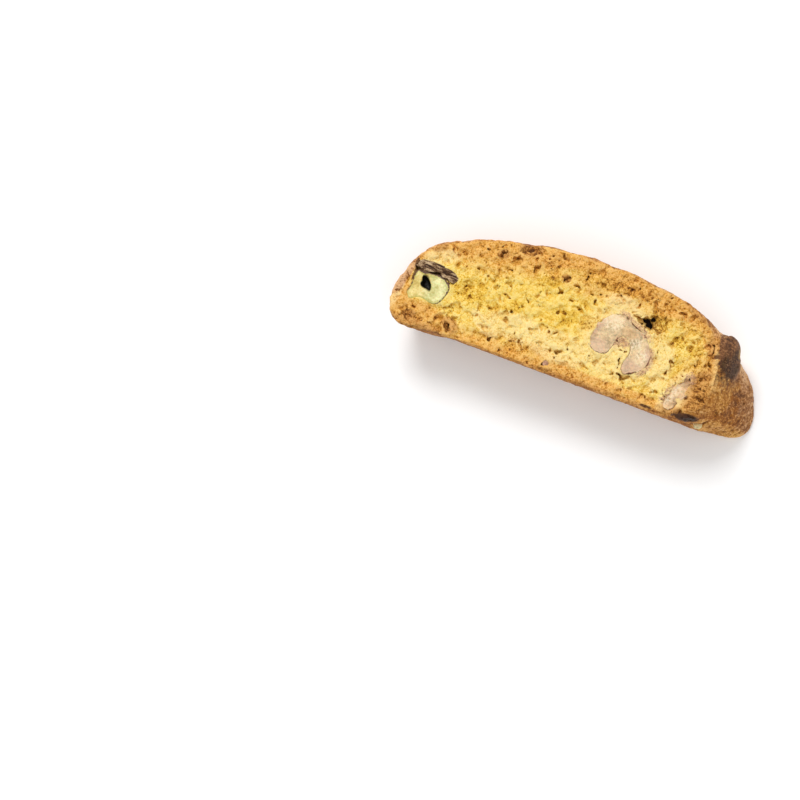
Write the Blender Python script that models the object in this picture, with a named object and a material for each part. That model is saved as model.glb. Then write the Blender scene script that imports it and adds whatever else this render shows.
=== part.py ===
"""A slice of pistachio and walnut biscotti, cut on the bias from a half-round log.

The slice lies on one cut face. +X runs along the slice to its crusted end, +Y from the
log's flat base to its dome, and +Z up through the thickness. The origin is on the table,
under the middle of the slice. Sizes below are in millimetres, and MM turns them into metres.
"""

import math
import random

import bmesh
import bpy
from mathutils import Matrix, Vector, noise
from mathutils.geometry import delaunay_2d_cdt

MM = 0.001
SEED = 11
TOP_HOLES_SEED = 12
BACK_HOLES_SEED = 13
GAP = 0.3

# The slice: the upper cut face's edge, and the lower one's, which the bias cut moves along X.
THICKNESS = 14.0
FACE_EDGE = [
    (-36.2, 0.6), (-34.2, -0.8), (-31.2, -0.8), (-27.6, -0.1), (-12.0, 0.0), (0.0, 0.1), (12.0, 0.0),
    (18.6, 0.1), (21.8, 0.9), (24.4, 2.1), (26.7, 3.6), (27.5, 6.8), (27.1, 10.6), (26.2, 14.6), (24.5, 17.6),
    (21.8, 20.2), (16.5, 22.4), (10.0, 23.3), (3.0, 23.8), (-4.0, 23.7), (-11.0, 23.0), (-17.5, 21.9),
    (-24.0, 20.0), (-28.6, 18.0), (-32.7, 15.5), (-35.4, 11.7), (-36.9, 7.6), (-37.3, 3.6),
]
BACK_EDGE = [
    (-29.6, 0.8), (-27.0, -0.2), (-23.0, -0.2), (-18.0, 0.0), (-6.0, 0.1), (6.0, 0.1), (18.0, 0.0),
    (27.5, 0.0), (33.6, 0.3), (36.9, 2.0), (37.6, 5.4), (36.2, 9.6), (33.9, 12.7), (30.7, 15.2),
    (26.6, 17.6), (21.5, 19.9), (15.5, 21.7), (8.5, 22.6), (1.5, 22.9), (-5.5, 22.6), (-12.0, 21.3),
    (-18.3, 19.3), (-23.0, 17.2), (-26.6, 14.8), (-29.0, 11.4), (-30.4, 7.6), (-30.8, 4.0),
]
RIM_POINTS = 104
# Each ring round the crust: height, share of the way from the back edge to the face edge, inset.
CRUST_RINGS = [
    (0.0, 0.00, 0.6), (0.7, 0.06, 0.1), (2.9, 0.21, -0.1), (5.0, 0.36, -0.2), (7.1, 0.51, -0.25),
    (9.2, 0.66, -0.2), (11.2, 0.80, -0.15), (13.0, 0.92, -0.05), (13.8, 1.0, 0.12),
]
# The left end's edge is rounder: how much further its top ring draws in.
LEFT_ROUNDING = 0.9
CRUST_LUMP = 0.55
CRUST_LUMP_SIZE = 5.0
CRUST_GRIT = 0.22
CRUST_GRIT_SIZE = 1.7
# Places where the crumb has chipped off the upper edge: x, y, half width, depth.
EDGE_CHIPS = [(-14.8, 21.6, 1.5, 1.5), (-26.2, 18.4, 0.8, 0.7), (17.0, 0.6, 1.9, 0.9), (24.2, 1.5, 1.6, 0.6)]

# The crumb of a cut face: spacing of its points, and how far it rises and falls.
CRUMB_STEP = 1.75
CRUMB_JITTER = 0.55
CRUMB_RELIEF = 0.32
CRUMB_RELIEF_SIZE = 2.1
# The holes that stand out on the upper face: x, y, half length, half width, turn in degrees, depth.
LARGE_HOLES = [
    (-23.5, 9.5, 2.0, 1.8, 0, 0.8),
    (11.0, 15.8, 1.7, 0.9, -20, 3.2), (10.8, 4.3, 1.1, 0.6, 10, 2.0), (8.6, 6.7, 0.8, 0.4, 80, 1.6),
    (-19.5, 18.4, 1.0, 0.6, 100, 1.3), (-26.6, 2.7, 1.2, 0.7, 30, 1.5), (-23.9, 3.9, 0.9, 0.6, 20, 1.2),
    (-22.6, 14.2, 1.0, 0.5, 20, 1.1), (-26.4, 13.2, 0.9, 0.5, 100, 1.1), (-12.6, 18.2, 1.0, 0.6, 40, 1.0),
    (-2.3, 20.1, 0.7, 0.5, 10, 1.4), (-6.3, 18.3, 0.7, 0.5, 30, 1.3), (-0.8, 17.2, 0.8, 0.4, 10, 1.1),
    (-17.8, 7.9, 0.9, 0.5, -30, 1.2), (-5.6, 11.8, 0.9, 0.7, 60, 1.2), (17.8, 14.4, 0.9, 0.6, 60, 1.3),
    (19.8, 17.5, 0.5, 0.4, 0, 1.3), (17.3, 8.0, 0.5, 0.35, 0, 1.4), (18.2, 10.1, 0.7, 0.3, 80, 1.4),
    (-12.2, 2.6, 0.9, 0.5, -20, 1.1), (-24.3, 1.6, 0.9, 0.6, -50, 1.2), (-29.9, 1.2, 0.8, 0.5, 20, 1.0),
    (1.2, 20.0, 0.8, 0.5, 0, 1.1), (16.6, 5.9, 1.0, 0.6, 10, 0.9), (23.3, 15.6, 0.8, 0.5, 60, 0.9),
]
SMALL_HOLES = 46
BACK_HOLES = 62
SMALL_HOLE_SIZE = (0.45, 1.0)
SMALL_HOLE_FLATNESS = (0.5, 0.9)
SMALL_HOLE_DEPTH = (0.6, 1.3)
HOLE_RIM_POINTS = 7
HOLE_FLOOR_POINTS = 4
HOLE_FLOOR_SHARE = 0.5
FLOOR_CENTRE_DEPTH = 1.15

# The pistachio, cut across: its kernel with the hollow between its halves, and its loose skin above.
KERNEL_EDGE = [
    (-33.4, 10.2), (-32.5, 9.9), (-31.2, 10.25), (-29.8, 10.4), (-28.2, 10.1), (-26.9, 9.3), (-26.6, 8.0),
    (-27.2, 6.2), (-28.4, 5.1), (-30.2, 5.0), (-31.6, 5.2), (-33.2, 4.4), (-34.3, 5.3), (-34.0, 7.0),
    (-33.9, 9.0),
]
KERNEL_HOLLOW = (-31.15, 8.2, 1.75, 0.78, -46, 2.6)
KERNEL_DEPTH = 7.5
SKIN_EDGE = [
    (-34.2, 10.9), (-33.6, 12.1), (-31.5, 12.3), (-29.0, 12.2), (-27.2, 11.8), (-26.0, 11.1), (-26.3, 10.1),
    (-27.6, 10.35), (-29.4, 10.8), (-31.2, 10.7), (-32.6, 10.35), (-33.3, 10.7),
]
SKIN_DEPTH = 5.0

# The walnut piece, cut across: two lobes joined by an arch.
WALNUT_EDGE = [
    (4.2, 7.1), (2.6, 7.7), (1.8, 9.4), (2.1, 11.6), (3.0, 13.8), (4.8, 15.4), (6.8, 15.7), (8.8, 14.7),
    (10.8, 13.9), (12.7, 12.5), (13.9, 10.4), (14.1, 8.3), (13.0, 6.5), (11.2, 5.3), (9.7, 5.5), (9.3, 7.2),
    (9.8, 8.8), (9.4, 10.6), (8.2, 11.7), (7.0, 11.3), (6.5, 9.6), (5.8, 7.7),
]
WALNUT_DEPTH = 8.0

# A pale broken bit of walnut near the crusted end, and a small one by the base.
SLIVER_EDGE = [
    (19.1, 2.4), (19.4, 4.2), (20.3, 6.3), (21.2, 8.4), (22.3, 9.1), (23.1, 7.6), (22.6, 5.2), (21.9, 3.2),
    (21.2, 1.9), (20.0, 1.6),
]
SLIVER_DEPTH = 3.0
CRUMB_NUT_EDGE = [(-5.1, 1.6), (-4.8, 2.4), (-4.0, 2.3), (-3.3, 2.0), (-3.3, 1.4), (-4.1, 1.15), (-4.8, 1.2)]
CRUMB_NUT_DEPTH = 1.4

# The whole nut under the crust of the right end: centre, half sizes, turn about Y and lean about Z.
END_NUT_CENTRE = (28.0, 14.8, 9.3)
END_NUT_HALF = (2.1, 4.6, 4.4)
END_NUT_TURN = -22.0
END_NUT_LEAN = 11.0
# The dark flake of pistachio skin that shows at the base's edge.
FLAKE_CENTRE = (24.5, 1.55, 11.7)
FLAKE_HALF = (1.8, 0.75, 1.3)
# A pale bit of pistachio in the crust beside it.
BIT_CENTRE = (27.2, 0.9, 7.9)
BIT_HALF = (0.9, 0.75, 1.1)

CRUMB_COLOUR = (0.80, 0.52, 0.16)
KERNEL_COLOUR = (0.66, 0.68, 0.22)
SKIN_COLOUR = (0.10, 0.055, 0.045)
WALNUT_COLOUR = (0.60, 0.43, 0.28)
SLIVER_COLOUR = (0.72, 0.50, 0.33)
END_NUT_COLOUR = (0.16, 0.08, 0.04)


def clear_scene():
    for obj in list(bpy.data.objects):
        bpy.data.objects.remove(obj)


def make_material(name, colour, roughness):
    material = bpy.data.materials.new(name)
    material.use_nodes = True
    shader = material.node_tree.nodes["Principled BSDF"]
    shader.inputs["Base Color"].default_value = (*colour, 1.0)
    shader.inputs["Roughness"].default_value = roughness
    shader.inputs["Metallic"].default_value = 0.0
    return material


def catmull_rom(a, b, c, d, t):
    return 0.5 * (2 * b + (c - a) * t + (2 * a - 5 * b + 4 * c - d) * t * t + (3 * b - a - 3 * c + d) * t ** 3)


def smooth_loop(points, steps=12):
    """A closed smooth curve through the points, as steps points for each span."""
    corners = [Vector(p) for p in points]
    n = len(corners)
    return [
        catmull_rom(corners[i - 1], corners[i], corners[(i + 1) % n], corners[(i + 2) % n], k / steps)
        for i in range(n)
        for k in range(steps)
    ]


def even_loop(points, count):
    """The smooth closed curve through the points, anticlockwise, as count points evenly along it."""
    loop = smooth_loop(points)
    if sum(a.cross(b) for a, b in zip(loop, loop[1:] + loop[:1])) < 0:
        loop.reverse()
    lengths = [(loop[(i + 1) % len(loop)] - loop[i]).length for i in range(len(loop))]
    step = sum(lengths) / count
    found, walked, i = [], 0.0, 0
    for k in range(count):
        while walked + lengths[i] < k * step:
            walked += lengths[i]
            i += 1
        found.append(loop[i].lerp(loop[(i + 1) % len(loop)], (k * step - walked) / lengths[i]))
    return found


def outward(loop):
    """The unit outward normals of a loop that runs anticlockwise."""
    normals = []
    for i in range(len(loop)):
        along = loop[(i + 1) % len(loop)] - loop[i - 1]
        normals.append(Vector((along.y, -along.x)).normalized())
    return normals


def grown(loop, distance):
    return [p + n * distance for p, n in zip(loop, outward(loop))]


def inside(point, loop):
    found = False
    for i in range(len(loop)):
        a, b = loop[i - 1], loop[i]
        if (a.y > point.y) != (b.y > point.y):
            if point.x < (b.x - a.x) * (point.y - a.y) / (b.y - a.y) + a.x:
                found = not found
    return found


def distance_to(point, loop):
    """The distance from a point to the nearest of a loop's sides."""
    nearest = math.inf
    for i in range(len(loop)):
        a, b = loop[i - 1], loop[i]
        side = b - a
        share = max(0.0, min(1.0, (point - a).dot(side) / side.length_squared))
        nearest = min(nearest, (point - a - side * share).length)
    return nearest


def wave(x, y, z, size):
    return noise.noise(Vector((x, y, z)) / size)


def crumb_height(x, y):
    """How far the upper cut face rises above its plane."""
    broad = wave(x, y, 3.3, CRUMB_RELIEF_SIZE)
    fine = wave(x, y, 9.1, CRUMB_RELIEF_SIZE / 2.2)
    return CRUMB_RELIEF * (broad + 0.6 * fine)


def hole_outline(hole, count, share):
    """count points on the ellipse of a hole, at this share of its size, each a little off it."""
    x, y, long, short, turn, _ = hole
    angle = math.radians(turn)
    across = Vector((math.cos(angle), math.sin(angle)))
    up = Vector((-math.sin(angle), math.cos(angle)))
    points = []
    for k in range(count):
        a = 2 * math.pi * (k + 0.5 * share) / count
        wobble = share * (1 + 0.22 * wave(x * 3 + k, y * 3, 5.7, 0.9))
        points.append(Vector((x, y)) + across * (long * wobble * math.cos(a)) + up * (short * wobble * math.sin(a)))
    return points


def scatter_holes(rng, count, edge, taken, closed_areas):
    """Small holes at even odds over the face, clear of its edge, of each other and of the nuts."""
    low = Vector((min(p.x for p in edge), min(p.y for p in edge)))
    high = Vector((max(p.x for p in edge), max(p.y for p in edge)))
    holes = list(taken)
    while len(holes) < len(taken) + count:
        spot = Vector((rng.uniform(low.x, high.x), rng.uniform(low.y, high.y)))
        long = rng.uniform(*SMALL_HOLE_SIZE)
        short = long * rng.uniform(*SMALL_HOLE_FLATNESS)
        turn = rng.uniform(0, 180)
        depth = rng.uniform(*SMALL_HOLE_DEPTH)
        if not inside(spot, edge) or distance_to(spot, edge) < long + 0.9:
            continue
        if any(inside(spot, area) or distance_to(spot, area) < long + 0.7 for area in closed_areas):
            continue
        if any((spot - Vector(h[:2])).length < long + h[2] + 0.7 for h in holes):
            continue
        holes.append((spot.x, spot.y, long, short, turn, depth))
    return holes


def crumb_sheet(edge, holes, step, rng):
    """Fills an edge with triangles on jittered points. Returns (points, depth of each, triangles)."""
    points = list(edge)
    depths = [0.0] * len(edge)
    for hole in holes:
        for spot in hole_outline(hole, HOLE_RIM_POINTS, 1.0):
            points.append(spot)
            depths.append(0.0)
        for spot in hole_outline(hole, HOLE_FLOOR_POINTS, HOLE_FLOOR_SHARE):
            points.append(spot)
            depths.append(hole[5])
        points.append(Vector(hole[:2]))
        depths.append(hole[5] * FLOOR_CENTRE_DEPTH)
    low = Vector((min(p.x for p in edge), min(p.y for p in edge)))
    high = Vector((max(p.x for p in edge), max(p.y for p in edge)))
    row_height = step * math.sqrt(3) / 2
    for row in range(int((high.y - low.y) / row_height) + 1):
        for column in range(int((high.x - low.x) / step) + 1):
            spot = low + Vector(((column + 0.5 * (row % 2)) * step, row * row_height))
            spot += Vector((rng.uniform(-1, 1), rng.uniform(-1, 1))) * (CRUMB_JITTER * step / 2)
            if not inside(spot, edge) or distance_to(spot, edge) < 0.55 * step:
                continue
            if any((spot - Vector(h[:2])).length < h[2] + 0.35 * step for h in holes):
                continue
            points.append(spot)
            depths.append(0.0)
    rim = list(range(len(edge)))
    placed, _, faces, sources, _, _ = delaunay_2d_cdt(points, [], [rim], 1, 1e-5)
    order = [source[0] for source in sources]
    return placed, [depths[i] for i in order], [tuple(f) for f in faces], order


def finish_mesh(name, points, faces):
    """A mesh object from points in millimetres, with its faces turned out."""
    mesh = bpy.data.meshes.new(name)
    mesh.from_pydata([Vector(p) * MM for p in points], [], faces)
    work = bmesh.new()
    work.from_mesh(mesh)
    bmesh.ops.recalc_face_normals(work, faces=work.faces)
    bmesh.ops.triangulate(work, faces=work.faces)
    work.to_mesh(mesh)
    work.free()
    obj = bpy.data.objects.new(name, mesh)
    bpy.context.scene.collection.objects.link(obj)
    return obj


def stitched(name, rings, top, bottom):
    """A closed body: rings of points from the bottom up, joined by quads and shut by two sheets.

    A sheet is (points, height of each, triangles, order), whose first points are the ring's own.
    """
    count = len(rings[0])
    points = [p for ring in rings for p in ring]
    faces = []
    for level in range(len(rings) - 1):
        low, high = level * count, (level + 1) * count
        for i in range(count):
            j = (i + 1) % count
            faces.append((low + i, low + j, high + j, high + i))
    for first, (spots, heights, triangles, order) in ((0, bottom), ((len(rings) - 1) * count, top)):
        index = {}
        for k, source in enumerate(order):
            if source < count:
                index[k] = first + source
            else:
                index[k] = len(points)
                points.append(Vector((spots[k].x, spots[k].y, heights[k])))
        faces += [tuple(index[k] for k in triangle) for triangle in triangles]
    return finish_mesh(name, points, faces)


def chip(x, y):
    """How far the upper edge is chipped back at this place."""
    return sum(
        depth * math.exp(-((x - cx) ** 2 + (y - cy) ** 2) / (2 * (0.6 * width) ** 2))
        for cx, cy, width, depth in EDGE_CHIPS
    )


def crust_ring(back, face, height, share, inset):
    """One ring of the crust, between the two edges, with the log's lumps and grit."""
    middle = [b.lerp(f, share) for b, f in zip(back, face)]
    ring = []
    near_top = max(0.0, (height / THICKNESS - 0.85) / 0.15)
    rounding = LEFT_ROUNDING * near_top ** 4
    near_edge = 1.0 if 1.0 < height < THICKNESS - 1.0 else 0.35
    for p, n in zip(middle, outward(middle)):
        lump = CRUST_LUMP * wave(p.x, p.y, height, CRUST_LUMP_SIZE)
        grit = CRUST_GRIT * wave(p.x, p.y, height, CRUST_GRIT_SIZE)
        out = near_edge * (lump + grit) - inset - near_top * chip(p.x, p.y) - rounding * max(0.0, -n.x)
        if p.y + n.y * out < -0.1 and n.y < -0.9 and p.x > -24:
            out = -(p.y + 0.1) / n.y
        spot = p + n * out
        ring.append(Vector((spot.x, spot.y, height)))
    return ring


def build_slice(nut_edges):
    rng = random.Random(SEED)
    top_rng, back_rng = random.Random(TOP_HOLES_SEED), random.Random(BACK_HOLES_SEED)
    face = even_loop(FACE_EDGE, RIM_POINTS)
    back = even_loop(BACK_EDGE, RIM_POINTS)
    rings = [crust_ring(back, face, *ring) for ring in CRUST_RINGS]

    top_edge = [p.xy for p in rings[-1]]
    top_holes = scatter_holes(top_rng, SMALL_HOLES, top_edge, LARGE_HOLES, nut_edges)
    spots, depths, triangles, order = crumb_sheet(top_edge, top_holes, CRUMB_STEP, rng)
    heights = [THICKNESS + crumb_height(p.x, p.y) - d for p, d in zip(spots, depths)]
    top = (spots, heights, triangles, order)

    back_edge = [p.xy for p in rings[0]]
    back_holes = scatter_holes(back_rng, BACK_HOLES, back_edge, [], [])
    bottom = crumb_sheet(back_edge, back_holes, CRUMB_STEP, rng)
    return stitched("biscotti_slice", rings, top, bottom)


def plug(name, edge, depth, taper, rim_points, step, holes=(), grow=0.0, rise=0.0, relief=0.18):
    """A nut cut flush with the upper face: its outline goes down to depth, shrinking and leaning in."""
    rng = random.Random(SEED + rim_points)
    loop = grown(even_loop(edge, rim_points), grow)
    middle = sum(loop, Vector((0.0, 0.0))) / rim_points
    floor = THICKNESS - depth - grow
    rings = []
    top_height = THICKNESS + rise
    for height, shrink in (
        (floor, taper),
        (floor + 0.12 * depth, 0.4 * taper),
        (floor + 0.3 * depth, 0.1 * taper),
        (THICKNESS - 0.35 * depth, 0.0),
        (top_height, 0.0),
    ):
        shift = Vector((NUT_LEAN * (THICKNESS - height), 0.0, height))
        rings.append([(p + (middle - p) * shrink).to_3d() + shift for p in loop])
    spots, depths, triangles, order = crumb_sheet([p.xy for p in rings[-1]], list(holes), step, rng)
    heights = [top_height + relief * wave(p.x, p.y, 1.9, 1.6) - d for p, d in zip(spots, depths)]
    low = crumb_sheet([p.xy for p in rings[0]], [], 2.0 * step, rng)
    low_heights = [floor] * len(low[0])
    return stitched(name, rings, (spots, heights, triangles, order), (low[0], low_heights, low[2], low[3]))


def pebble(name, centre, half, turn, lean, roughness, grow=0.0):
    """A whole nut or flake: an icosphere stretched to its half sizes, wrinkled and turned."""
    work = bmesh.new()
    bmesh.ops.create_icosphere(work, subdivisions=3, radius=1.0)
    for vertex in work.verts:
        p = vertex.co.copy()
        wrinkle = 1 + roughness * noise.noise(Vector((p.x * 2.1, p.y * 1.1, p.z * 2.6)))
        vertex.co = Vector([p[i] * (half[i] * wrinkle + grow) for i in range(3)])
    turned = Matrix.Rotation(math.radians(lean), 4, "Z") @ Matrix.Rotation(math.radians(turn), 4, "Y")
    bmesh.ops.transform(work, matrix=Matrix.Scale(MM, 4) @ Matrix.Translation(centre) @ turned, verts=work.verts)
    mesh = bpy.data.meshes.new(name)
    work.to_mesh(mesh)
    work.free()
    mesh.shade_smooth()
    obj = bpy.data.objects.new(name, mesh)
    bpy.context.scene.collection.objects.link(obj)
    return obj


def cut_pocket(body, cutter):
    """Cuts a nut's pocket from the crumb with a helper that isn't part of the model."""
    cutter.hide_render = True
    cutter.display_type = "WIRE"
    boolean = body.modifiers.new("pocket_" + cutter.name, "BOOLEAN")
    boolean.operation = "DIFFERENCE"
    boolean.solver = "EXACT"
    boolean.object = cutter


# Each nut cut flush with the face: name, outline, depth, the share it shrinks by below, points round it,
# spacing of the points on its top, holes, colour.
FLUSH_NUTS = [
    ("pistachio_kernel", KERNEL_EDGE, KERNEL_DEPTH, 0.22, 34, 1.2, [KERNEL_HOLLOW], KERNEL_COLOUR),
    ("pistachio_skin", SKIN_EDGE, SKIN_DEPTH, 0.05, 30, 0.8, [], SKIN_COLOUR),
    ("walnut_piece", WALNUT_EDGE, WALNUT_DEPTH, 0.06, 56, 1.3, [], WALNUT_COLOUR),
    ("walnut_sliver", SLIVER_EDGE, SLIVER_DEPTH, 0.12, 28, 1.0, [], SLIVER_COLOUR),
    ("walnut_crumb", CRUMB_NUT_EDGE, CRUMB_NUT_DEPTH, 0.15, 14, 0.8, [], SLIVER_COLOUR),
]
# Each nut that bulges from the crust: name, centre, half sizes, turn, lean, roughness, colour.
CRUST_NUTS = [
    ("end_nut", END_NUT_CENTRE, END_NUT_HALF, END_NUT_TURN, END_NUT_LEAN, 0.12, END_NUT_COLOUR),
    ("skin_flake", FLAKE_CENTRE, FLAKE_HALF, 0.0, 4.0, 0.2, SKIN_COLOUR),
    ("pistachio_bit", BIT_CENTRE, BIT_HALF, 0.0, 0.0, 0.15, KERNEL_COLOUR),
]
POCKET_RISE = 2.0
# The nuts follow the bias cut: how far they lean along X for each millimetre down.
NUT_LEAN = 0.45


def centre_on_table():
    """Moves every mesh so the slice's middle is over the origin. The lower face is already at zero."""
    corners = [v.co for obj in bpy.data.objects if not obj.hide_render for v in obj.data.vertices]
    middle = Vector((
        (min(c.x for c in corners) + max(c.x for c in corners)) / 2,
        (min(c.y for c in corners) + max(c.y for c in corners)) / 2,
        0.0,
    ))
    for obj in bpy.data.objects:
        obj.data.transform(Matrix.Translation(-middle))


def main():
    clear_scene()
    nut_edges = [smooth_loop(nut[1], 4) for nut in FLUSH_NUTS]
    body = build_slice(nut_edges)
    body.data.materials.append(make_material("baked_crumb", CRUMB_COLOUR, 0.85))
    for name, edge, depth, taper, rim_points, step, holes, colour in FLUSH_NUTS:
        nut = plug(name, edge, depth, taper, rim_points, step, holes)
        nut.data.materials.append(make_material(name, colour, 0.6))
        pocket = plug(name + "_pocket", edge, depth, taper, rim_points, 9.0, grow=GAP, rise=POCKET_RISE, relief=0.0)
        cut_pocket(body, pocket)
    for name, centre, half, turn, lean, roughness, colour in CRUST_NUTS:
        nut = pebble(name, centre, half, turn, lean, roughness)
        nut.data.materials.append(make_material(name, colour, 0.6))
        cut_pocket(body, pebble(name + "_pocket", centre, half, turn, lean, roughness, grow=GAP))
    centre_on_table()


main()
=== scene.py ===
"""Dresses the biscotti slice: open baked crumb, browned crust and its nuts, on a pale table.

Places are given in the slice's own section frame, in millimetres: x along the flat base, y from
the base to the dome, z up through the thickness. The row frame is that frame moved by OFFSET.
"""

import math
import random

import bpy
import numpy as np
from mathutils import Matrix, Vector, noise


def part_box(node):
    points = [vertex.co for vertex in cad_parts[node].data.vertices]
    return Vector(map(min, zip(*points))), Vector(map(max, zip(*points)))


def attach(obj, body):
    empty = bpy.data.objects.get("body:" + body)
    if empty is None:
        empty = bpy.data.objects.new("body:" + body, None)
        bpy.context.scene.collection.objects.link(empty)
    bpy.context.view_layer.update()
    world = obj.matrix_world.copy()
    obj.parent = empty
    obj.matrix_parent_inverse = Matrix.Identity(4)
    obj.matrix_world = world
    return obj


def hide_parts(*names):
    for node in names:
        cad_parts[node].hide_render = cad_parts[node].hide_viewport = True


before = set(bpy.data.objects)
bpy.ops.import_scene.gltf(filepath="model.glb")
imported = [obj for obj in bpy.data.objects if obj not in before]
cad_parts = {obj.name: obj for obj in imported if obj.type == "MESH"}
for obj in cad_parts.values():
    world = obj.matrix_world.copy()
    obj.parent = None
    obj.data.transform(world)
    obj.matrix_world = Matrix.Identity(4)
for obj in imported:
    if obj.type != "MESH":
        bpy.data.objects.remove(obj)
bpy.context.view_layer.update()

MM = 0.001
THICKNESS = 14.0
TOP_HOLES_SEED = 12
TOP_HOLES_COUNT = 46
BACK_HOLES_SEED = 13
BACK_HOLES_COUNT = 62

# The slice's two cut edges, the rings of its crust and its relief, as the solid has them.
FACE_EDGE = [
    (-36.2, 0.6), (-34.2, -0.8), (-31.2, -0.8), (-27.6, -0.1), (-12.0, 0.0), (0.0, 0.1), (12.0, 0.0),
    (18.6, 0.1), (21.8, 0.9), (24.4, 2.1), (26.7, 3.6), (27.5, 6.8), (27.1, 10.6), (26.2, 14.6),
    (24.5, 17.6), (21.8, 20.2), (16.5, 22.4), (10.0, 23.3), (3.0, 23.8), (-4.0, 23.7), (-11.0, 23.0),
    (-17.5, 21.9), (-24.0, 20.0), (-28.6, 18.0), (-32.7, 15.5), (-35.4, 11.7), (-36.9, 7.6), (-37.3, 3.6),
]
BACK_EDGE = [
    (-29.6, 0.8), (-27.0, -0.2), (-23.0, -0.2), (-18.0, 0.0), (-6.0, 0.1), (6.0, 0.1), (18.0, 0.0),
    (27.5, 0.0), (33.6, 0.3), (36.9, 2.0), (37.6, 5.4), (36.2, 9.6), (33.9, 12.7), (30.7, 15.2),
    (26.6, 17.6), (21.5, 19.9), (15.5, 21.7), (8.5, 22.6), (1.5, 22.9), (-5.5, 22.6), (-12.0, 21.3),
    (-18.3, 19.3), (-23.0, 17.2), (-26.6, 14.8), (-29.0, 11.4), (-30.4, 7.6), (-30.8, 4.0),
]
RIM_POINTS = 104
# Each ring of the crust: its height, the share of the way from the lower to the upper edge, its inset.
CRUST_RINGS = [
    (0.0, 0.00, 0.6), (0.7, 0.06, 0.1), (2.9, 0.21, -0.1), (5.0, 0.36, -0.2), (7.1, 0.51, -0.25),
    (9.2, 0.66, -0.2), (11.2, 0.80, -0.15), (13.0, 0.92, -0.05), (13.8, 1.0, 0.12),
]
LEFT_ROUNDING = 0.9
CRUST_LUMP = 0.55
CRUST_LUMP_SIZE = 5.0
CRUST_GRIT = 0.22
CRUST_GRIT_SIZE = 1.7
# Chips in the upper edge: x, y, width and depth.
EDGE_CHIPS = [
    (-14.8, 21.6, 1.5, 1.5), (-26.2, 18.4, 0.8, 0.7), (17.0, 0.6, 1.9, 0.9), (24.2, 1.5, 1.6, 0.6),
]
CRUMB_RELIEF = 0.32
CRUMB_RELIEF_SIZE = 2.1
# Each hole: x, y, half length, half width, turn in degrees and depth.
LARGE_HOLES = [
    (-23.5, 9.5, 2.0, 1.8, 0, 0.8), (11.0, 15.8, 1.7, 0.9, -20, 3.2), (10.8, 4.3, 1.1, 0.6, 10, 2.0),
    (8.6, 6.7, 0.8, 0.4, 80, 1.6), (-19.5, 18.4, 1.0, 0.6, 100, 1.3), (-26.6, 2.7, 1.2, 0.7, 30, 1.5),
    (-23.9, 3.9, 0.9, 0.6, 20, 1.2), (-22.6, 14.2, 1.0, 0.5, 20, 1.1), (-26.4, 13.2, 0.9, 0.5, 100, 1.1),
    (-12.6, 18.2, 1.0, 0.6, 40, 1.0), (-2.3, 20.1, 0.7, 0.5, 10, 1.4), (-6.3, 18.3, 0.7, 0.5, 30, 1.3),
    (-0.8, 17.2, 0.8, 0.4, 10, 1.1), (-17.8, 7.9, 0.9, 0.5, -30, 1.2), (-5.6, 11.8, 0.9, 0.7, 60, 1.2),
    (17.8, 14.4, 0.9, 0.6, 60, 1.3), (19.8, 17.5, 0.5, 0.4, 0, 1.3), (17.3, 8.0, 0.5, 0.35, 0, 1.4),
    (18.2, 10.1, 0.7, 0.3, 80, 1.4), (-12.2, 2.6, 0.9, 0.5, -20, 1.1), (-24.3, 1.6, 0.9, 0.6, -50, 1.2),
    (-29.9, 1.2, 0.8, 0.5, 20, 1.0), (1.2, 20.0, 0.8, 0.5, 0, 1.1), (16.6, 5.9, 1.0, 0.6, 10, 0.9),
    (23.3, 15.6, 0.8, 0.5, 60, 0.9),
]

# The nuts' cut outlines, as the solids have them, and the kernel's hollow as a hole.
KERNEL_EDGE = [
    (-33.4, 10.2), (-32.5, 9.9), (-31.2, 10.25), (-29.8, 10.4), (-28.2, 10.1), (-26.9, 9.3), (-26.6, 8.0),
    (-27.2, 6.2), (-28.4, 5.1), (-30.2, 5.0), (-31.6, 5.2), (-33.2, 4.4), (-34.3, 5.3), (-34.0, 7.0),
    (-33.9, 9.0),
]
KERNEL_HOLLOW = (-31.15, 8.2, 1.75, 0.78, -46, 2.6)
SKIN_EDGE = [
    (-34.2, 10.9), (-33.6, 12.1), (-31.5, 12.3), (-29.0, 12.2), (-27.2, 11.8), (-26.0, 11.1),
    (-26.3, 10.1), (-27.6, 10.35), (-29.4, 10.8), (-31.2, 10.7), (-32.6, 10.35), (-33.3, 10.7),
]
WALNUT_EDGE = [
    (4.2, 7.1), (2.6, 7.7), (1.8, 9.4), (2.1, 11.6), (3.0, 13.8), (4.8, 15.4), (6.8, 15.7), (8.8, 14.7),
    (10.8, 13.9), (12.7, 12.5), (13.9, 10.4), (14.1, 8.3), (13.0, 6.5), (11.2, 5.3), (9.7, 5.5),
    (9.3, 7.2), (9.8, 8.8), (9.4, 10.6), (8.2, 11.7), (7.0, 11.3), (6.5, 9.6), (5.8, 7.7),
]
SLIVER_EDGE = [
    (19.1, 2.4), (19.4, 4.2), (20.3, 6.3), (21.2, 8.4), (22.3, 9.1), (23.1, 7.6), (22.6, 5.2),
    (21.9, 3.2), (21.2, 1.9), (20.0, 1.6),
]
CRUMB_NUT_EDGE = [
    (-5.1, 1.6), (-4.8, 2.4), (-4.0, 2.3), (-3.3, 2.0), (-3.3, 1.4), (-4.1, 1.15), (-4.8, 1.2),
]
# How far a cut nut leans along x for each millimetre down.
NUT_LEAN = 0.45
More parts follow.
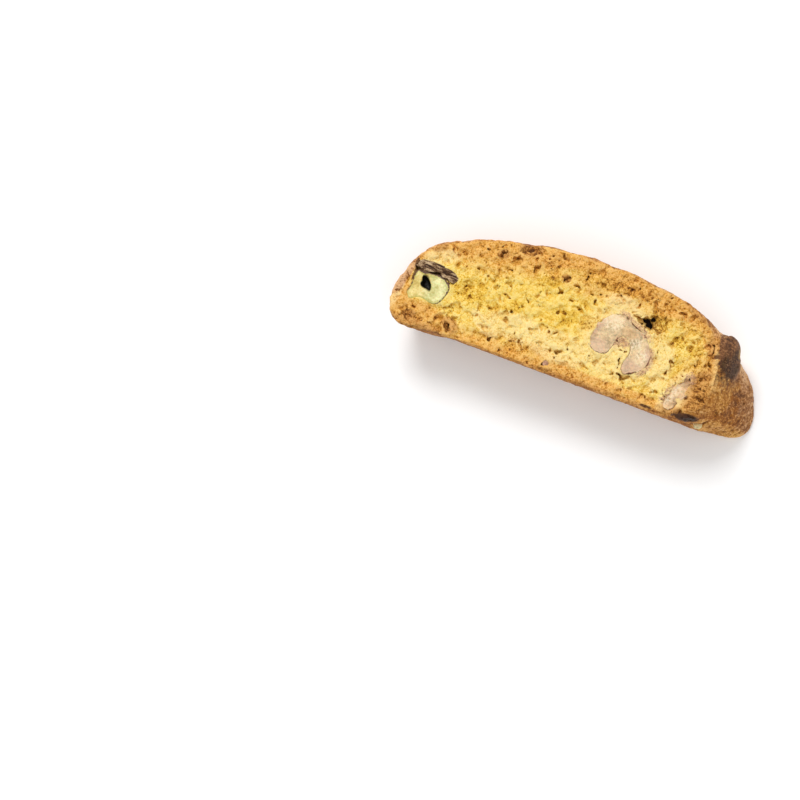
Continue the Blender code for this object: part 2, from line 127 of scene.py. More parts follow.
# Each cut nut: its outline, depth, the share it shrinks by below, points round the solid's outline, and
# how far crumbs lap over its edge.
CUT_NUTS = {
    "pistachio_kernel": (KERNEL_EDGE, 7.5, 0.22, 34, 0.06),
    "pistachio_skin": (SKIN_EDGE, 5.0, 0.05, 30, 0.0),
    "walnut_piece": (WALNUT_EDGE, 8.0, 0.06, 56, 0.10),
    "walnut_sliver": (SLIVER_EDGE, 3.0, 0.12, 28, 0.42),
    "walnut_crumb": (CRUMB_NUT_EDGE, 1.4, 0.15, 14, 0.3),
}
# Each whole nut: centre, half sizes, turn about Y and lean about Z in degrees.
WHOLE_NUTS = {
    "end_nut": ((28.0, 14.8, 9.3), (2.1, 4.6, 4.4), -22.0, 11.0),
    "skin_flake": ((24.5, 1.55, 11.7), (1.8, 0.75, 1.3), 0.0, 4.0),
    "pistachio_bit": ((27.2, 0.9, 7.9), (0.9, 0.75, 1.1), 0.0, 0.0),
}

# The carving grid of the slice, and the finer step of each nut's.
BODY_STEP = 0.2
BODY_LOW = (-38.6, -2.2, -0.6)
BODY_HIGH = (38.8, 25.2, 15.2)
NUT_STEP = 0.13
# How far a bed stays inside its nut, so that no gap shows round it.
NUT_OVERLAP = 0.12
# The slice is thinned to this many triangles, least where it is nearer than this to the upper face.
BODY_TRIANGLES = 190_000
FACE_DEPTH = 1.5


def catmull_rom(a, b, c, d, t):
    """The place t of the way from b to c, on the smooth curve through all four."""
    bend = (2 * a - 5 * b + 4 * c - d) * t * t
    return 0.5 * (2 * b + (c - a) * t + bend + (3 * b - a - 3 * c + d) * t ** 3)


def smooth_loop(points, steps=12):
    """A closed smooth curve through the points, as steps points for each span."""
    corners = [Vector(p) for p in points]
    n = len(corners)
    return [
        catmull_rom(corners[i - 1], corners[i], corners[(i + 1) % n], corners[(i + 2) % n], k / steps)
        for i in range(n)
        for k in range(steps)
    ]


def even_loop(points, count):
    """The smooth closed curve through the points, anticlockwise, as count points evenly along it."""
    loop = smooth_loop(points)
    if sum(a.cross(b) for a, b in zip(loop, loop[1:] + loop[:1])) < 0:
        loop.reverse()
    lengths = [(loop[(i + 1) % len(loop)] - loop[i]).length for i in range(len(loop))]
    step = sum(lengths) / count
    found, walked, i = [], 0.0, 0
    for k in range(count):
        while walked + lengths[i] < k * step:
            walked += lengths[i]
            i += 1
        found.append(loop[i].lerp(loop[(i + 1) % len(loop)], (k * step - walked) / lengths[i]))
    return found


def outward(loop):
    """The unit outward normals of a loop that runs anticlockwise."""
    normals = []
    for i in range(len(loop)):
        along = loop[(i + 1) % len(loop)] - loop[i - 1]
        normals.append(Vector((along.y, -along.x)).normalized())
    return normals


def wave(x, y, z, size):
    """Smooth noise, about -1 to 1, with bumps about size across."""
    return noise.noise(Vector((x, y, z)) / size)


def crumb_height(x, y):
    """How far the upper cut face rises above its plane."""
    broad = wave(x, y, 3.3, CRUMB_RELIEF_SIZE)
    fine = wave(x, y, 9.1, CRUMB_RELIEF_SIZE / 2.2)
    return CRUMB_RELIEF * (broad + 0.6 * fine)


def chip(x, y):
    """How far the upper edge is chipped back at this place."""
    return sum(
        depth * math.exp(-((x - cx) ** 2 + (y - cy) ** 2) / (2 * (0.6 * width) ** 2))
        for cx, cy, width, depth in EDGE_CHIPS
    )


def crust_ring(back, face, height, share, inset):
    """One ring of the crust, between the two edges, with the log's lumps and grit."""
    middle = [b.lerp(f, share) for b, f in zip(back, face)]
    ring = []
    near_top = max(0.0, (height / THICKNESS - 0.85) / 0.15)
    rounding = LEFT_ROUNDING * near_top ** 4
    near_edge = 1.0 if 1.0 < height < THICKNESS - 1.0 else 0.35
    for p, n in zip(middle, outward(middle)):
        lump = CRUST_LUMP * wave(p.x, p.y, height, CRUST_LUMP_SIZE)
        grit = CRUST_GRIT * wave(p.x, p.y, height, CRUST_GRIT_SIZE)
        out = near_edge * (lump + grit) - inset - near_top * chip(p.x, p.y) - rounding * max(0.0, -n.x)
        if p.y + n.y * out < -0.1 and n.y < -0.9 and p.x > -24:
            out = -(p.y + 0.1) / n.y
        ring.append(p + n * out)
    return ring


class Window:
    """The part of a grid that some slices hold, with its coordinates named as the grid's are."""

    def __init__(self, grid, spans):
        self.axes = [a[s] for a, s in zip(grid.axes, spans)]
        self.x, self.y, self.z = grid.part(spans)


class Points:
    """Loose points, with their coordinates named as a grid's are."""

    def __init__(self, points):
        self.x, self.y, self.z = points.T


class Grid:
    """A box of points at even steps, on which solids are signed distances, negative inside."""

    def __init__(self, low, high, step):
        self.low = np.array(low, float)
        self.step = step
        self.shape = tuple(int((h - l) / step) + 1 for l, h in zip(low, high))
        self.axes = [l + step * np.arange(n) for l, n in zip(low, self.shape)]
        self.x = self.axes[0][:, None, None]
        self.y = self.axes[1][None, :, None]
        self.z = self.axes[2][None, None, :]

    def span(self, centre, reach):
        """Slices of the grid that hold everything within reach of centre."""
        first = [max(0, int((c - r - l) / self.step)) for c, r, l in zip(centre, reach, self.low)]
        last = [int((c + r - l) / self.step) + 2 for c, r, l in zip(centre, reach, self.low)]
        return tuple(slice(a, max(a, min(b, n))) for a, b, n in zip(first, last, self.shape))

    def part(self, spans):
        """The coordinates within the slices."""
        return self.x[spans[0]], self.y[:, spans[1]], self.z[:, :, spans[2]]

    def sample(self, field, points):
        """The field's values at points, read between the grid's own."""
        place = (points - self.low) / self.step
        place = np.clip(place, 0, np.array(self.shape) - 1.001)
        cell = place.astype(int)
        t = place - cell
        found = np.zeros(len(points))
        for corner in np.ndindex(2, 2, 2):
            weight = np.prod(np.where(corner, t, 1 - t), axis=1)
            found += weight * field[tuple((cell + corner).T)]
        return found


def spline_weights(coords, size, offset):
    """Cubic B-spline weights that spread a lattice of values, size apart, over the coordinates."""
    u = coords / size + offset
    first = np.floor(u).astype(int)
    t = u - first
    taps = ((1 - t) ** 3, 3 * t ** 3 - 6 * t ** 2 + 4, -3 * t ** 3 + 3 * t ** 2 + 3 * t + 1, t ** 3)
    weights = np.zeros((len(coords), first[-1] - first[0] + 4))
    for k, tap in enumerate(taps):
        weights[np.arange(len(coords)), first - first[0] + k] = tap / 6
    return weights


def ripple(grid, size, seed):
    """Smooth random bumps over the grid, about size across (one number or one for each axis)."""
    rng = np.random.default_rng(seed)
    sizes = np.broadcast_to(size, 3)
    wx, wy, wz = [spline_weights(a, s, rng.random()) for a, s in zip(grid.axes, sizes)]
    lattice = rng.standard_normal((wx.shape[1], wy.shape[1], wz.shape[1]))
    field = np.matmul(wy, np.tensordot(wx, lattice, (1, 0))) @ wz.T
    return (field / field.std()).astype(np.float32)


def as_array(loop):
    """A loop's points as rows of numbers."""
    return np.array([tuple(p) for p in loop])


def loop_distance(loop, x, y):
    """Signed distance from points to a closed outline, negative inside."""
    nearest = np.full(np.broadcast(x, y).shape, np.inf)
    within = np.zeros(nearest.shape, bool)
    for a, b in zip(np.roll(loop, 1, axis=0), loop):
        side = b - a
        share = np.clip(((x - a[0]) * side[0] + (y - a[1]) * side[1]) / (side @ side), 0, 1)
        gap = (x - a[0] - side[0] * share) ** 2 + (y - a[1] - side[1] * share) ** 2
        nearest = np.minimum(nearest, gap)
        if a[1] != b[1]:
            crosses = ((a[1] > y) != (b[1] > y)) & (x < side[0] * (y - a[1]) / side[1] + a[0])
            within ^= crosses
    return np.where(within, -1, 1) * np.sqrt(nearest)


def finer(field, shape, old_axes, new_axes):
    """A coarse 2-D field read at a finer grid's points."""
    rows = np.array([np.interp(new_axes[1], old_axes[1], row) for row in field])
    return np.array([np.interp(new_axes[0], old_axes[0], column) for column in rows.T]).T.reshape(shape)


def smooth_max(a, b, blend):
    """The larger of the two, with the corner between them rounded over the blend."""
    overlap = np.maximum(blend - np.abs(a - b), 0) / blend
    return np.maximum(a, b) + overlap * overlap * blend / 4


def ease(value, low, high):
    """0 below low and 1 above high, with a smooth step between (low may be the larger)."""
    t = np.clip((value - low) / (high - low), 0, 1)
    return t * t * (3 - 2 * t)


def side_field(grid):
    """Distance to the crust, from the same rings as the solid's."""
    face = even_loop(FACE_EDGE, RIM_POINTS)
    back = even_loop(BACK_EDGE, RIM_POINTS)
    coarse = [a[::2] for a in grid.axes[:2]]
    levels = []
    for ring in CRUST_RINGS:
        loop = as_array(smooth_loop(crust_ring(back, face, *ring), 3))
        flat = loop_distance(loop, coarse[0][:, None], coarse[1][None, :])
        levels.append(finer(flat, grid.shape[:2], coarse, grid.axes[:2]))
    levels = np.stack(levels, axis=2)
    heights = np.array([ring[0] for ring in CRUST_RINGS])
    place = np.interp(grid.axes[2], heights, np.arange(len(heights)))
    lower = np.minimum(place.astype(int), len(heights) - 2)
    share = place - lower
    return (levels[:, :, lower] * (1 - share) + levels[:, :, lower + 1] * share).astype(np.float32)


def face_height(grid):
    """Height of the upper cut face over the grid's columns."""
    coarse = [a[::2] for a in grid.axes[:2]]
    heights = np.array([[crumb_height(x, y) for y in coarse[1]] for x in coarse[0]])
    return THICKNESS + finer(heights, grid.shape[:2], coarse, grid.axes[:2])


def surface_nets(grid, field):
    """The closed surface where the field is zero. Returns (points, quads)."""
    inside = field < 0
    count = np.zeros([n - 1 for n in field.shape], np.int8)
    for corner in np.ndindex(2, 2, 2):
        count += inside[tuple(slice(c, n - 1 + c) for c, n in zip(corner, field.shape))]
    cells = np.argwhere((count > 0) & (count < 8))
    label = np.full(count.shape, -1, np.int32)
    label[tuple(cells.T)] = np.arange(len(cells))

    total = np.zeros((len(cells), 3))
    crossings = np.zeros(len(cells))
    for axis in range(3):
        others = [a for a in range(3) if a != axis]
        for corner in np.ndindex(2, 2):
            start = cells.copy()
            start[:, others] += corner
            end = start.copy()
            end[:, axis] += 1
            f0, f1 = field[tuple(start.T)], field[tuple(end.T)]
            cross = (f0 < 0) != (f1 < 0)
            t = np.where(cross, f0 / np.where(cross, f0 - f1, 1), 0)
            point = (start - cells).astype(float)
            point[:, axis] = t
            total += np.where(cross[:, None], point, 0)
            crossings += cross
    points = grid.low + grid.step * (cells + total / crossings[:, None])

    quads = []
    for axis in range(3):
        b, c = [(axis + 1) % 3, (axis + 2) % 3]
        low = np.moveaxis(inside, axis, 0)[:-1]
        high = np.moveaxis(inside, axis, 0)[1:]
        edges = np.argwhere(np.moveaxis(low != high, 0, axis))
        edges = edges[(edges[:, b] > 0) & (edges[:, c] > 0)]
        ring = []
        for db, dc in ((0, 0), (-1, 0), (-1, -1), (0, -1)):
            cell = edges.copy()
            cell[:, b] += db
            cell[:, c] += dc
            ring.append(label[tuple(cell.T)])
        ring = np.stack(ring, axis=1)
        rising = inside[tuple(edges.T)]
        ring[~rising] = ring[~rising][:, ::-1]
        quads.append(ring)
    return points, np.concatenate(quads)


def largest_piece(points, quads):
    """Drops closed bubbles and loose specks: keeps the surface with the most points."""
    label = np.arange(len(points))
    while True:
        least = label[quads].min(axis=1)
        new = label.copy()
        for k in range(4):
            np.minimum.at(new, quads[:, k], least)
        new = new[new]
        if (new == label).all():
            break
        label = new
    main = np.bincount(label).argmax()
    keep = label == main
    index = np.cumsum(keep) - 1
    return points[keep], index[quads[keep[quads[:, 0]]]]


def blurred(field, cells):
    """The field averaged over about cells grid steps each way, three times over."""
    found = field.astype(np.float32)
    for _ in range(3):
        for axis in range(3):
            padded = np.concatenate([
                np.repeat(found.take([0], axis), cells + 1, axis), found,
                np.repeat(found.take([-1], axis), cells, axis),
            ], axis)
            summed = np.cumsum(padded, axis, dtype=np.float64)
            width = 2 * cells + 1
            high = summed.take(range(width, width + field.shape[axis]), axis)
            low = summed.take(range(0, field.shape[axis]), axis)
            found = ((high - low) / width).astype(np.float32)
    return found


def carve_hollow(field, grid, warp, centre, half, turn, blend=0.06):
    """Takes a ragged ellipsoid out of the field, with a rim rounded over the blend."""
    reach = max(half) + 0.9 + blend
    spans = grid.span(centre, (reach,) * 3)
    x, y, z = grid.part(spans)
    x = x - centre[0] + warp[0][spans]
    y = y - centre[1] + warp[1][spans]
    z = z - centre[2] + warp[2][spans]
    angle = math.radians(turn)
    along = x * math.cos(angle) + y * math.sin(angle)
    across = -x * math.sin(angle) + y * math.cos(angle)
    length = np.sqrt((along / half[0]) ** 2 + (across / half[1]) ** 2 + (z / half[2]) ** 2)
    hollow = (length - 1) * min(half)
    field[spans] = smooth_max(field[spans], -hollow.astype(np.float32), blend)


def cut_nut_field(grid, nut, blend):
    """A nut cut flush with the face, leaning and shrinking downwards as its solid does."""
    edge, depth, taper, count, _ = nut
    loop = even_loop(edge, count)
    middle = sum(loop, Vector((0.0, 0.0))) / count
    loop = as_array(smooth_loop(loop, 3))
    floor = THICKNESS - depth
    steps = [floor - 1.0, floor, floor + 0.12 * depth, floor + 0.3 * depth, THICKNESS - 0.35 * depth]
    shrinks = [taper, taper, 0.4 * taper, 0.1 * taper, 0.0]
    fields = []
    for z in grid.axes[2]:
        scale = 1 - np.interp(z, steps, shrinks)
        x = middle.x + (grid.x[:, :, 0] - NUT_LEAN * (THICKNESS - z) - middle.x) / scale
        y = middle.y + (grid.y[:, :, 0] - middle.y) / scale
        fields.append(loop_distance(loop, x, y) * scale)
    return smooth_max(np.stack(fields, axis=2), floor - grid.z, blend)


def whole_nut_field(grid, nut):
    """A whole nut: a stretched ball, turned about Y and leaned about Z."""
    centre, half, turn, lean = nut
    t, l = math.radians(turn), math.radians(lean)
    x, y, z = grid.x - centre[0], grid.y - centre[1], grid.z - centre[2]
    x, y = x * math.cos(l) + y * math.sin(l), -x * math.sin(l) + y * math.cos(l)
    x, z = x * math.cos(t) - z * math.sin(t), x * math.sin(t) + z * math.cos(t)
    length = np.sqrt((x / half[0]) ** 2 + (y / half[1]) ** 2 + (z / half[2]) ** 2)
    return (length - 1) * min(half)


def make_object(name, points, faces):
    """A mesh object in the row frame from points in section millimetres."""
    mesh = bpy.data.meshes.new(name)
    mesh.vertices.add(len(points))
    mesh.vertices.foreach_set("co", ((points + OFFSET) * MM).astype(np.float32).ravel())
    mesh.loops.add(faces.size)
    mesh.loops.foreach_set("vertex_index", faces.astype(np.int32).ravel())
    mesh.polygons.add(len(faces))
    mesh.polygons.foreach_set("loop_start", np.arange(0, faces.size, faces.shape[1], dtype=np.int32))
    mesh.update(calc_edges=True)
    mesh.shade_smooth()
    obj = bpy.data.objects.new(name, mesh)
    bpy.context.scene.collection.objects.link(obj)
    return obj


def thinned(obj, triangles, plainness):
    """Thins the mesh to about this many triangles, first where plainness (0 to 1 a point) is high."""
    count = sum(len(p.vertices) - 2 for p in obj.data.polygons)
    if count > triangles:
        group = obj.vertex_groups.new(name="plain")
        for weight in np.unique(plainness):
            group.add(np.flatnonzero(plainness == weight).tolist(), float(weight), "REPLACE")
        modifier = obj.modifiers.new("thin", "DECIMATE")
        modifier.vertex_group = group.name
        modifier.vertex_group_factor = 4.0
        modifier.ratio = triangles / count
        depsgraph = bpy.context.evaluated_depsgraph_get()
        mesh = bpy.data.meshes.new_from_object(obj.evaluated_get(depsgraph))
        obj.modifiers.clear()
        obj.data = mesh
        mesh.shade_smooth()
    return obj


def section_points(obj):
    """The piece's points in section millimetres."""
    points = np.empty(len(obj.data.vertices) * 3, np.float32)
    obj.data.vertices.foreach_get("co", points)
    return points.reshape(-1, 3).astype(float) / MM - OFFSET


def paint(obj, name, values):
    """Stores one number for each point, for the material to read."""
    attribute = obj.data.attributes.new(name, "FLOAT", "POINT")
    attribute.data.foreach_set("value", np.asarray(values, np.float32))


def spots(x, y, places):
    """How far inside the nearest soft ellipse each point is, from 0 to 1, seen from above."""
    found = np.zeros(np.broadcast(x, y).shape)
    for middle_x, middle_y, long, short, turn in places:
        angle = math.radians(turn)
        dx, dy = x - middle_x, y - middle_y
        along = (dx * math.cos(angle) + dy * math.sin(angle)) / long
        across = (-dx * math.sin(angle) + dy * math.cos(angle)) / short
        found = np.maximum(found, ease(along ** 2 + across ** 2, 1.7, 0.3))
    return found


def spots_on(points, places):
    return spots(points[:, 0], points[:, 1], places)


def scatter_holes(rng, count, edge, taken, closed_areas):
    """Small holes at even odds over a cut face, clear of its edge, of each other and of the nuts."""
    holes = list(taken)
    low, high = edge.min(axis=0), edge.max(axis=0)
    while len(holes) < len(taken) + count:
        x, y = rng.uniform(low[0], high[0]), rng.uniform(low[1], high[1])
        long = rng.uniform(0.45, 1.0)
        short = long * rng.uniform(0.5, 0.9)
        turn = rng.uniform(0, 180)
        depth = rng.uniform(0.6, 1.3)
        spot = (np.array([x]), np.array([y]))
        if loop_distance(edge, *spot)[0] > -(long + 0.9):
            continue
        if any(loop_distance(area, *spot)[0] < long + 0.7 for area in closed_areas):
            continue
        if any(math.hypot(x - h[0], y - h[1]) < long + h[2] + 0.7 for h in holes):
            continue
        holes.append((x, y, long, short, turn, depth))
    return holes


# Cells of the open crumb: size of the ripple that opens them, how rare they are, how deep they go and
# how steep their walls are.
CELL_SIZE = 0.45
CELL_RARITY = 1.7
CELL_DEPTH = 0.6
CELL_SLOPE = 0.24
# The slot between the kernel and its skin: centre, half sizes and turn.
KERNEL_SLOT = ((-30.3, 10.45, 14.4), (4.2, 0.8, 2.4), -3)
# Broad hollows in the upper face: the same, and how far the rim is rounded.
HOLLOWS = [
    ((12.9, 16.0, 14.3), (1.9, 1.7, 1.9), 20, 0.5), ((-14.6, 22.0, 14.3), (1.9, 2.0, 2.6), 0, 0.1),
    ((17.8, 14.6, 14.4), (1.5, 1.2, 1.2), 40, 0.5),
]
# The finer holes that stand out on the upper face, given as the larger ones are.
FINE_HOLES = [
    (9.6, 16.3, 0.9, 0.35, -15, 2.6), (12.2, 15.1, 0.8, 0.4, -60, 2.8), (11.9, 16.7, 0.6, 0.4, 20, 2.4),
    (9.9, 4.5, 0.8, 0.35, -20, 2.2), (-18.4, 12.3, 0.6, 0.5, 0, 0.7), (11.5, 14.7, 0.4, 0.5, 0, 1.6),
    (9.3, 4.9, 0.5, 0.35, -30, 1.2), (11.9, 4.6, 0.5, 0.3, 10, 1.2), (8.9, 9.1, 0.45, 0.3, 10, 1.2),
    (6.9, 10.9, 0.3, 0.3, 0, 0.8), (-10.0, 12.1, 0.35, 0.3, 0, 0.8), (-15.7, 11.3, 0.7, 0.35, 0, 0.9),
    (-17.3, 10.7, 0.9, 0.35, -42, 0.8), (-18.4, 7.5, 0.3, 0.3, 0, 1.1), (-14.5, 7.4, 0.55, 0.3, -15, 0.8),
    (-14.2, 5.7, 0.7, 0.6, 0, 0.7), (-11.0, 8.1, 0.4, 0.3, 0, 0.8), (-8.1, 9.4, 0.6, 0.4, 70, 0.7),
    (-10.9, 4.1, 0.8, 0.25, -5, 0.7), (-9.8, 3.4, 0.9, 0.3, -60, 0.7), (-7.0, 4.5, 0.7, 0.3, -28, 0.8),
    (-16.3, 2.3, 0.7, 0.45, 25, 1.0), (-17.4, 3.3, 0.45, 0.35, 0, 0.9), (-5.0, 1.9, 0.4, 0.3, 80, 1.0),
    (-3.5, 3.1, 0.45, 0.25, -30, 0.7), (-2.2, 2.7, 0.35, 0.25, 0, 0.7), (-8.1, 19.6, 0.6, 0.9, 0, 0.7),
    (-9.9, 18.9, 0.5, 0.3, 30, 0.9), (-17.3, 15.0, 0.9, 0.35, -62, 0.7), (-15.3, 14.4, 0.5, 0.3, 40, 0.8),
    (-22.3, 18.2, 0.6, 0.4, 0, 0.9), (-27.0, 15.9, 0.6, 0.4, 20, 0.8), (-32.8, 0.6, 0.6, 0.5, 0, 0.9),
    (2.8, 15.6, 0.4, 0.3, 0, 0.9), (0.4, 16.2, 0.6, 0.3, 20, 0.7), (7.5, 21.2, 0.4, 0.3, 0, 0.9),
    (10.5, 20.2, 0.5, 0.35, 0, 0.8), (14.8, 19.4, 0.5, 0.35, 40, 0.8), (17.6, 19.3, 0.45, 0.3, 0, 0.8),
    (14.4, 18.0, 0.35, 0.3, 0, 0.9), (6.3, 5.2, 0.5, 0.3, 0, 0.8), (3.5, 3.8, 0.5, 0.35, 0, 0.8),
    (14.8, 2.4, 0.6, 0.4, 0, 0.9), (22.4, 11.4, 0.45, 0.35, 0, 1.0), (24.2, 8.8, 0.5, 0.3, -20, 0.9),
    (25.6, 5.3, 0.7, 0.35, 0, 0.8), (26.0, 6.9, 0.5, 0.4, 0, 0.8), (21.4, 8.7, 0.3, 0.25, 0, 0.8),
    (7.9, 10.4, 0.35, 0.25, 0, 1.0), (8.3, 9.5, 0.3, 0.3, 0, 1.0), (24.5, 16.3, 0.9, 0.22, -15, 1.0),
    (25.3, 15.2, 1.0, 0.22, -78, 1.0), (13.4, 9.0, 0.9, 0.16, 80, 0.8), (12.9, 6.2, 0.8, 0.16, 50, 0.8),
    (19.0, 3.6, 1.2, 0.18, 80, 0.9), (20.0, 6.6, 0.8, 0.16, 62, 0.8), (22.4, 10.2, 0.5, 0.2, 20, 0.7),
    (-4.9, 1.4, 0.3, 0.7, 0, 0.9),
]


def softened(value):
    """The value where it is above zero and nothing below, with a soft bend between."""
    return 0.5 * (value + np.sqrt(value * value + 0.04)).astype(np.float32)


def cut_nuts_distance(grid):
    """Distance over the grid's columns to the nearest nut that is cut flush with the face."""
    coarse = [a[::2] for a in grid.axes[:2]]
    loops = [as_array(even_loop(nut[0], nut[3])) for nut in CUT_NUTS.values()]
    flat = [loop_distance(loop, coarse[0][:, None], coarse[1][None, :]) for loop in loops]
    return finer(np.min(flat, axis=0), grid.shape[:2], coarse, grid.axes[:2])


def end_wrinkles(grid):
    """The curved grooves low on the right end's crust, 0 to 1."""
    place = ease(grid.x, 33.0, 35.0) * ease(grid.y, 9.5, 7.0) * ease(grid.z, 8.0, 6.0)
    place = place * ease(ripple(grid, 2.0, 34), -0.6, 0.6)
    return place * np.maximum(np.sin(6.0 * grid.z + 2.4 * ripple(grid, 2.0, 29)), 0)


def carve_holes(body, grid):
    """Opens the holes and hollows of both cut faces, each with ragged walls."""
    warp = [0.24 * ripple(grid, 0.9, seed) + 0.20 * ripple(grid, 0.45, seed + 3) for seed in (31, 32, 33)]
    nut_edges = [as_array(smooth_loop(nut[0], 4)) for nut in CUT_NUTS.values()]
    face = as_array(even_loop(FACE_EDGE, RIM_POINTS))
    back = as_array(even_loop(BACK_EDGE, RIM_POINTS))
    upper = scatter_holes(random.Random(TOP_HOLES_SEED), TOP_HOLES_COUNT, face, LARGE_HOLES, nut_edges)
    lower = scatter_holes(random.Random(BACK_HOLES_SEED), BACK_HOLES_COUNT, back, [], [])
    for x, y, long, short, turn, deep in upper:
        blend = 0.1 if deep > 1.5 else 0.4
        carve_hollow(body, grid, warp, (x, y, THICKNESS), (long, short, deep), turn, blend)
    for x, y, long, short, turn, deep in FINE_HOLES:
        carve_hollow(body, grid, warp, (x, y, THICKNESS), (long, short, deep), turn)
    for x, y, long, short, turn, deep in lower:
        carve_hollow(body, grid, warp, (x, y, 0.0), (long, short, deep), turn)
    for centre, half, turn, blend in HOLLOWS:
        carve_hollow(body, grid, warp, centre, half, turn, blend)
    carve_hollow(body, grid, warp, *KERNEL_SLOT)


def carve_beds(body, grid, middle, small):
    """Returns the body with the nuts' beds cut into it. Crumbs lap over the nuts' edges here and there."""
    for nut in CUT_NUTS.values():
        edge = as_array(nut[0])
        low, high = edge.min(axis=0) - 0.8, edge.max(axis=0) + 0.8
        high[0] += NUT_LEAN * nut[1]
        centre = (*(low + high) / 2, THICKNESS - nut[1] / 2)
        spans = grid.span(centre, (*(high - low) / 2, nut[1] / 2 + 2.0))
        lap = nut[4] * np.maximum(0.6 * small[spans] + 0.6 * middle[spans], 0) + min(nut[4], NUT_OVERLAP)
        body[spans] = np.maximum(body[spans], -lap - cut_nut_field(Window(grid, spans), nut, 0.8))
    for nut in WHOLE_NUTS.values():
        body = np.maximum(body, -NUT_OVERLAP - 0.15 * np.maximum(small, 0) - whole_nut_field(grid, nut))
    return body


def build_body_field(grid):
    """The slice as signed distances, with those to its crust and upper face and the wrinkles."""
    side = side_field(grid)
    top = (grid.z - face_height(grid)[:, :, None]).astype(np.float32)
    wrinkles = end_wrinkles(grid)
    freckles = 0.6 * ripple(grid, 0.75, 21) + 0.6 * ripple(grid, 0.42, 22)
    notches = 0.3 * np.maximum(ripple(grid, 1.3, 28) - 1.1, 0) * ease(grid.z, 10.5, 13.5)
    fine_side = side + 0.05 * freckles + 0.16 * np.maximum(freckles - 0.9, 0) + notches + 0.1 * wrinkles

    calm = ease(cut_nuts_distance(grid), 0.2, 1.0)[:, :, None]
    broad, middle, small = ripple(grid, 1.5, 23), ripple(grid, 0.75, 24), ripple(grid, 0.42, 27)
    dips = softened(0.5 * broad + 0.55 * middle + 0.45 * small - 0.25)
    creases = np.maximum(0.5 - np.abs(middle + 0.6 * small), 0)
    coarse = 1 + 0.25 * spots(grid.x, grid.y, TOASTED) - 0.55 * spots(grid.x, grid.y, SMOOTHED)
    coarse = coarse.astype(np.float32)
    fine_top = top + (0.10 + 0.90 * calm) * coarse * (0.42 * dips + 0.5 * creases)
    fine_low = -grid.z + 0.12 * dips
    open_edge = spots(grid.x, grid.y, OPEN_EDGE) * ease(grid.z, 11.6, 13.2)
    fine_side = fine_side + (0.5 * open_edge * (0.42 * dips + 0.5 * creases)).astype(np.float32)
    body = smooth_max(smooth_max(fine_side, fine_top, 0.3), fine_low, 0.3)

    # The crust rises round the end nut in a soft collar.
    collar = whole_nut_field(grid, WHOLE_NUTS["end_nut"]) + 0.38 + 0.05 * freckles
    body = -smooth_max(-body, -collar, 2.4)

    depth = np.minimum(-top, grid.z)
    cells = CELL_SLOPE * (0.8 * ripple(grid, CELL_SIZE, 26) + 0.6 * middle - CELL_RARITY)
    cells = cells - 0.8 * np.maximum(depth - CELL_DEPTH, 0) - 1.2 * np.maximum(side + 0.6, 0)
    body = smooth_max(body, cells - 0.5 * (1 - calm), 0.08)
    carve_holes(body, grid)
    body = carve_beds(body, grid, middle, small)
    return body.astype(np.float32), side, top, wrinkles


# The lists below are soft ellipses on the slice seen from above: x, y, half length, half width and turn.
# Dark stains on the upper face, and painted shade along the slot between the pistachio kernel and its skin.
STAINS_AND_SLOT_SHADE = [
    (16.3, 0.7, 1.3, 0.3, 0), (24.4, 1.5, 2.1, 0.7, 2), (22.6, 1.0, 1.4, 0.5, 0),
    (-34.0, 9.6, 0.3, 1.8, -2), (-34.1, 11.3, 0.5, 1.0, 0), (-30.5, 10.4, 3.9, 0.5, -3),
]
# Where the crumb is pressed smooth.
SMOOTHED = [(-23.3, 9.6, 3.0, 2.4, 0), (13.4, 16.6, 2.0, 1.4, 20)]
# Where crust reaches over the edge of the upper face.
SKINNED = [(-36.0, 7.4, 1.5, 4.8, -14)]
# Painted highlights: crust coloured paler where light catches it.
PAINTED_CRUST_HIGHLIGHTS = [
    (31.3, 14.2, 0.9, 2.8, 38), (25.0, 19.9, 2.2, 0.9, -35), (-36.0, 6.8, 0.9, 3.6, -8),
    (35.6, 1.6, 2.4, 0.7, 20),
]
# Where the crust is missing at the upper edge and crumb shows.
OPEN_EDGE = [(-31.0, 0.6, 8.5, 3.4, 0), (-36.0, 2.2, 2.6, 2.4, 0), (-12.0, 22.0, 6.0, 2.6, 8)]
# Toasted and golden crumb.
TOASTED = [
    (-30.5, 1.0, 7.5, 3.6, 0), (-35.0, 3.0, 2.4, 4.5, 0), (25.5, 5.0, 3.4, 5.5, 0),
    (25.0, 16.5, 2.4, 4.0, 40), (10.0, 1.0, 18.0, 1.8, 0), (-10.0, 21.6, 12.0, 2.2, 12),
    (12.0, 21.6, 12.0, 2.4, -12),
]
GOLDEN = [
    (-20.0, 17.0, 9.0, 3.6, 14), (3.0, 20.0, 14.0, 3.4, 0), (23.0, 7.0, 4.0, 8.0, 0),
    (-10.0, 2.5, 14.0, 2.2, 0),
]
# Crust with a pinkish tan.
TAN_PLACES = [
    (31.8, 12.6, 2.6, 5.0, 42), (36.0, 6.0, 2.6, 6.5, 0), (-36.0, 7.8, 1.8, 8.5, -16),
    (24.5, 19.6, 3.0, 1.6, -35), (-30.0, 16.8, 5.0, 1.8, 36), (12.0, 22.9, 5.0, 1.2, -8),
]
# Crumb that baking has browned most.
BROWNED = [
    (25.8, 6.0, 3.0, 5.8, 0), (25.6, 15.4, 1.5, 3.2, 30), (-31.2, 15.7, 1.8, 0.9, 32),
    (-31.0, -0.2, 6.0, 1.3, 0), (20.5, 21.0, 5.0, 1.1, -22), (8.0, 0.2, 18.0, 0.8, 0),
    (-32.3, 1.2, 1.4, 1.3, 0), (21.5, 1.2, 2.6, 1.6, 0), (-14.6, 21.6, 2.4, 1.7, 10),
    (25.4, 9.5, 1.3, 2.0, 0), (-24.2, 2.2, 1.9, 1.4, -30), (-19.2, 18.6, 1.2, 0.9, 20),
    (-6.3, 18.4, 1.0, 0.8, 10),
]
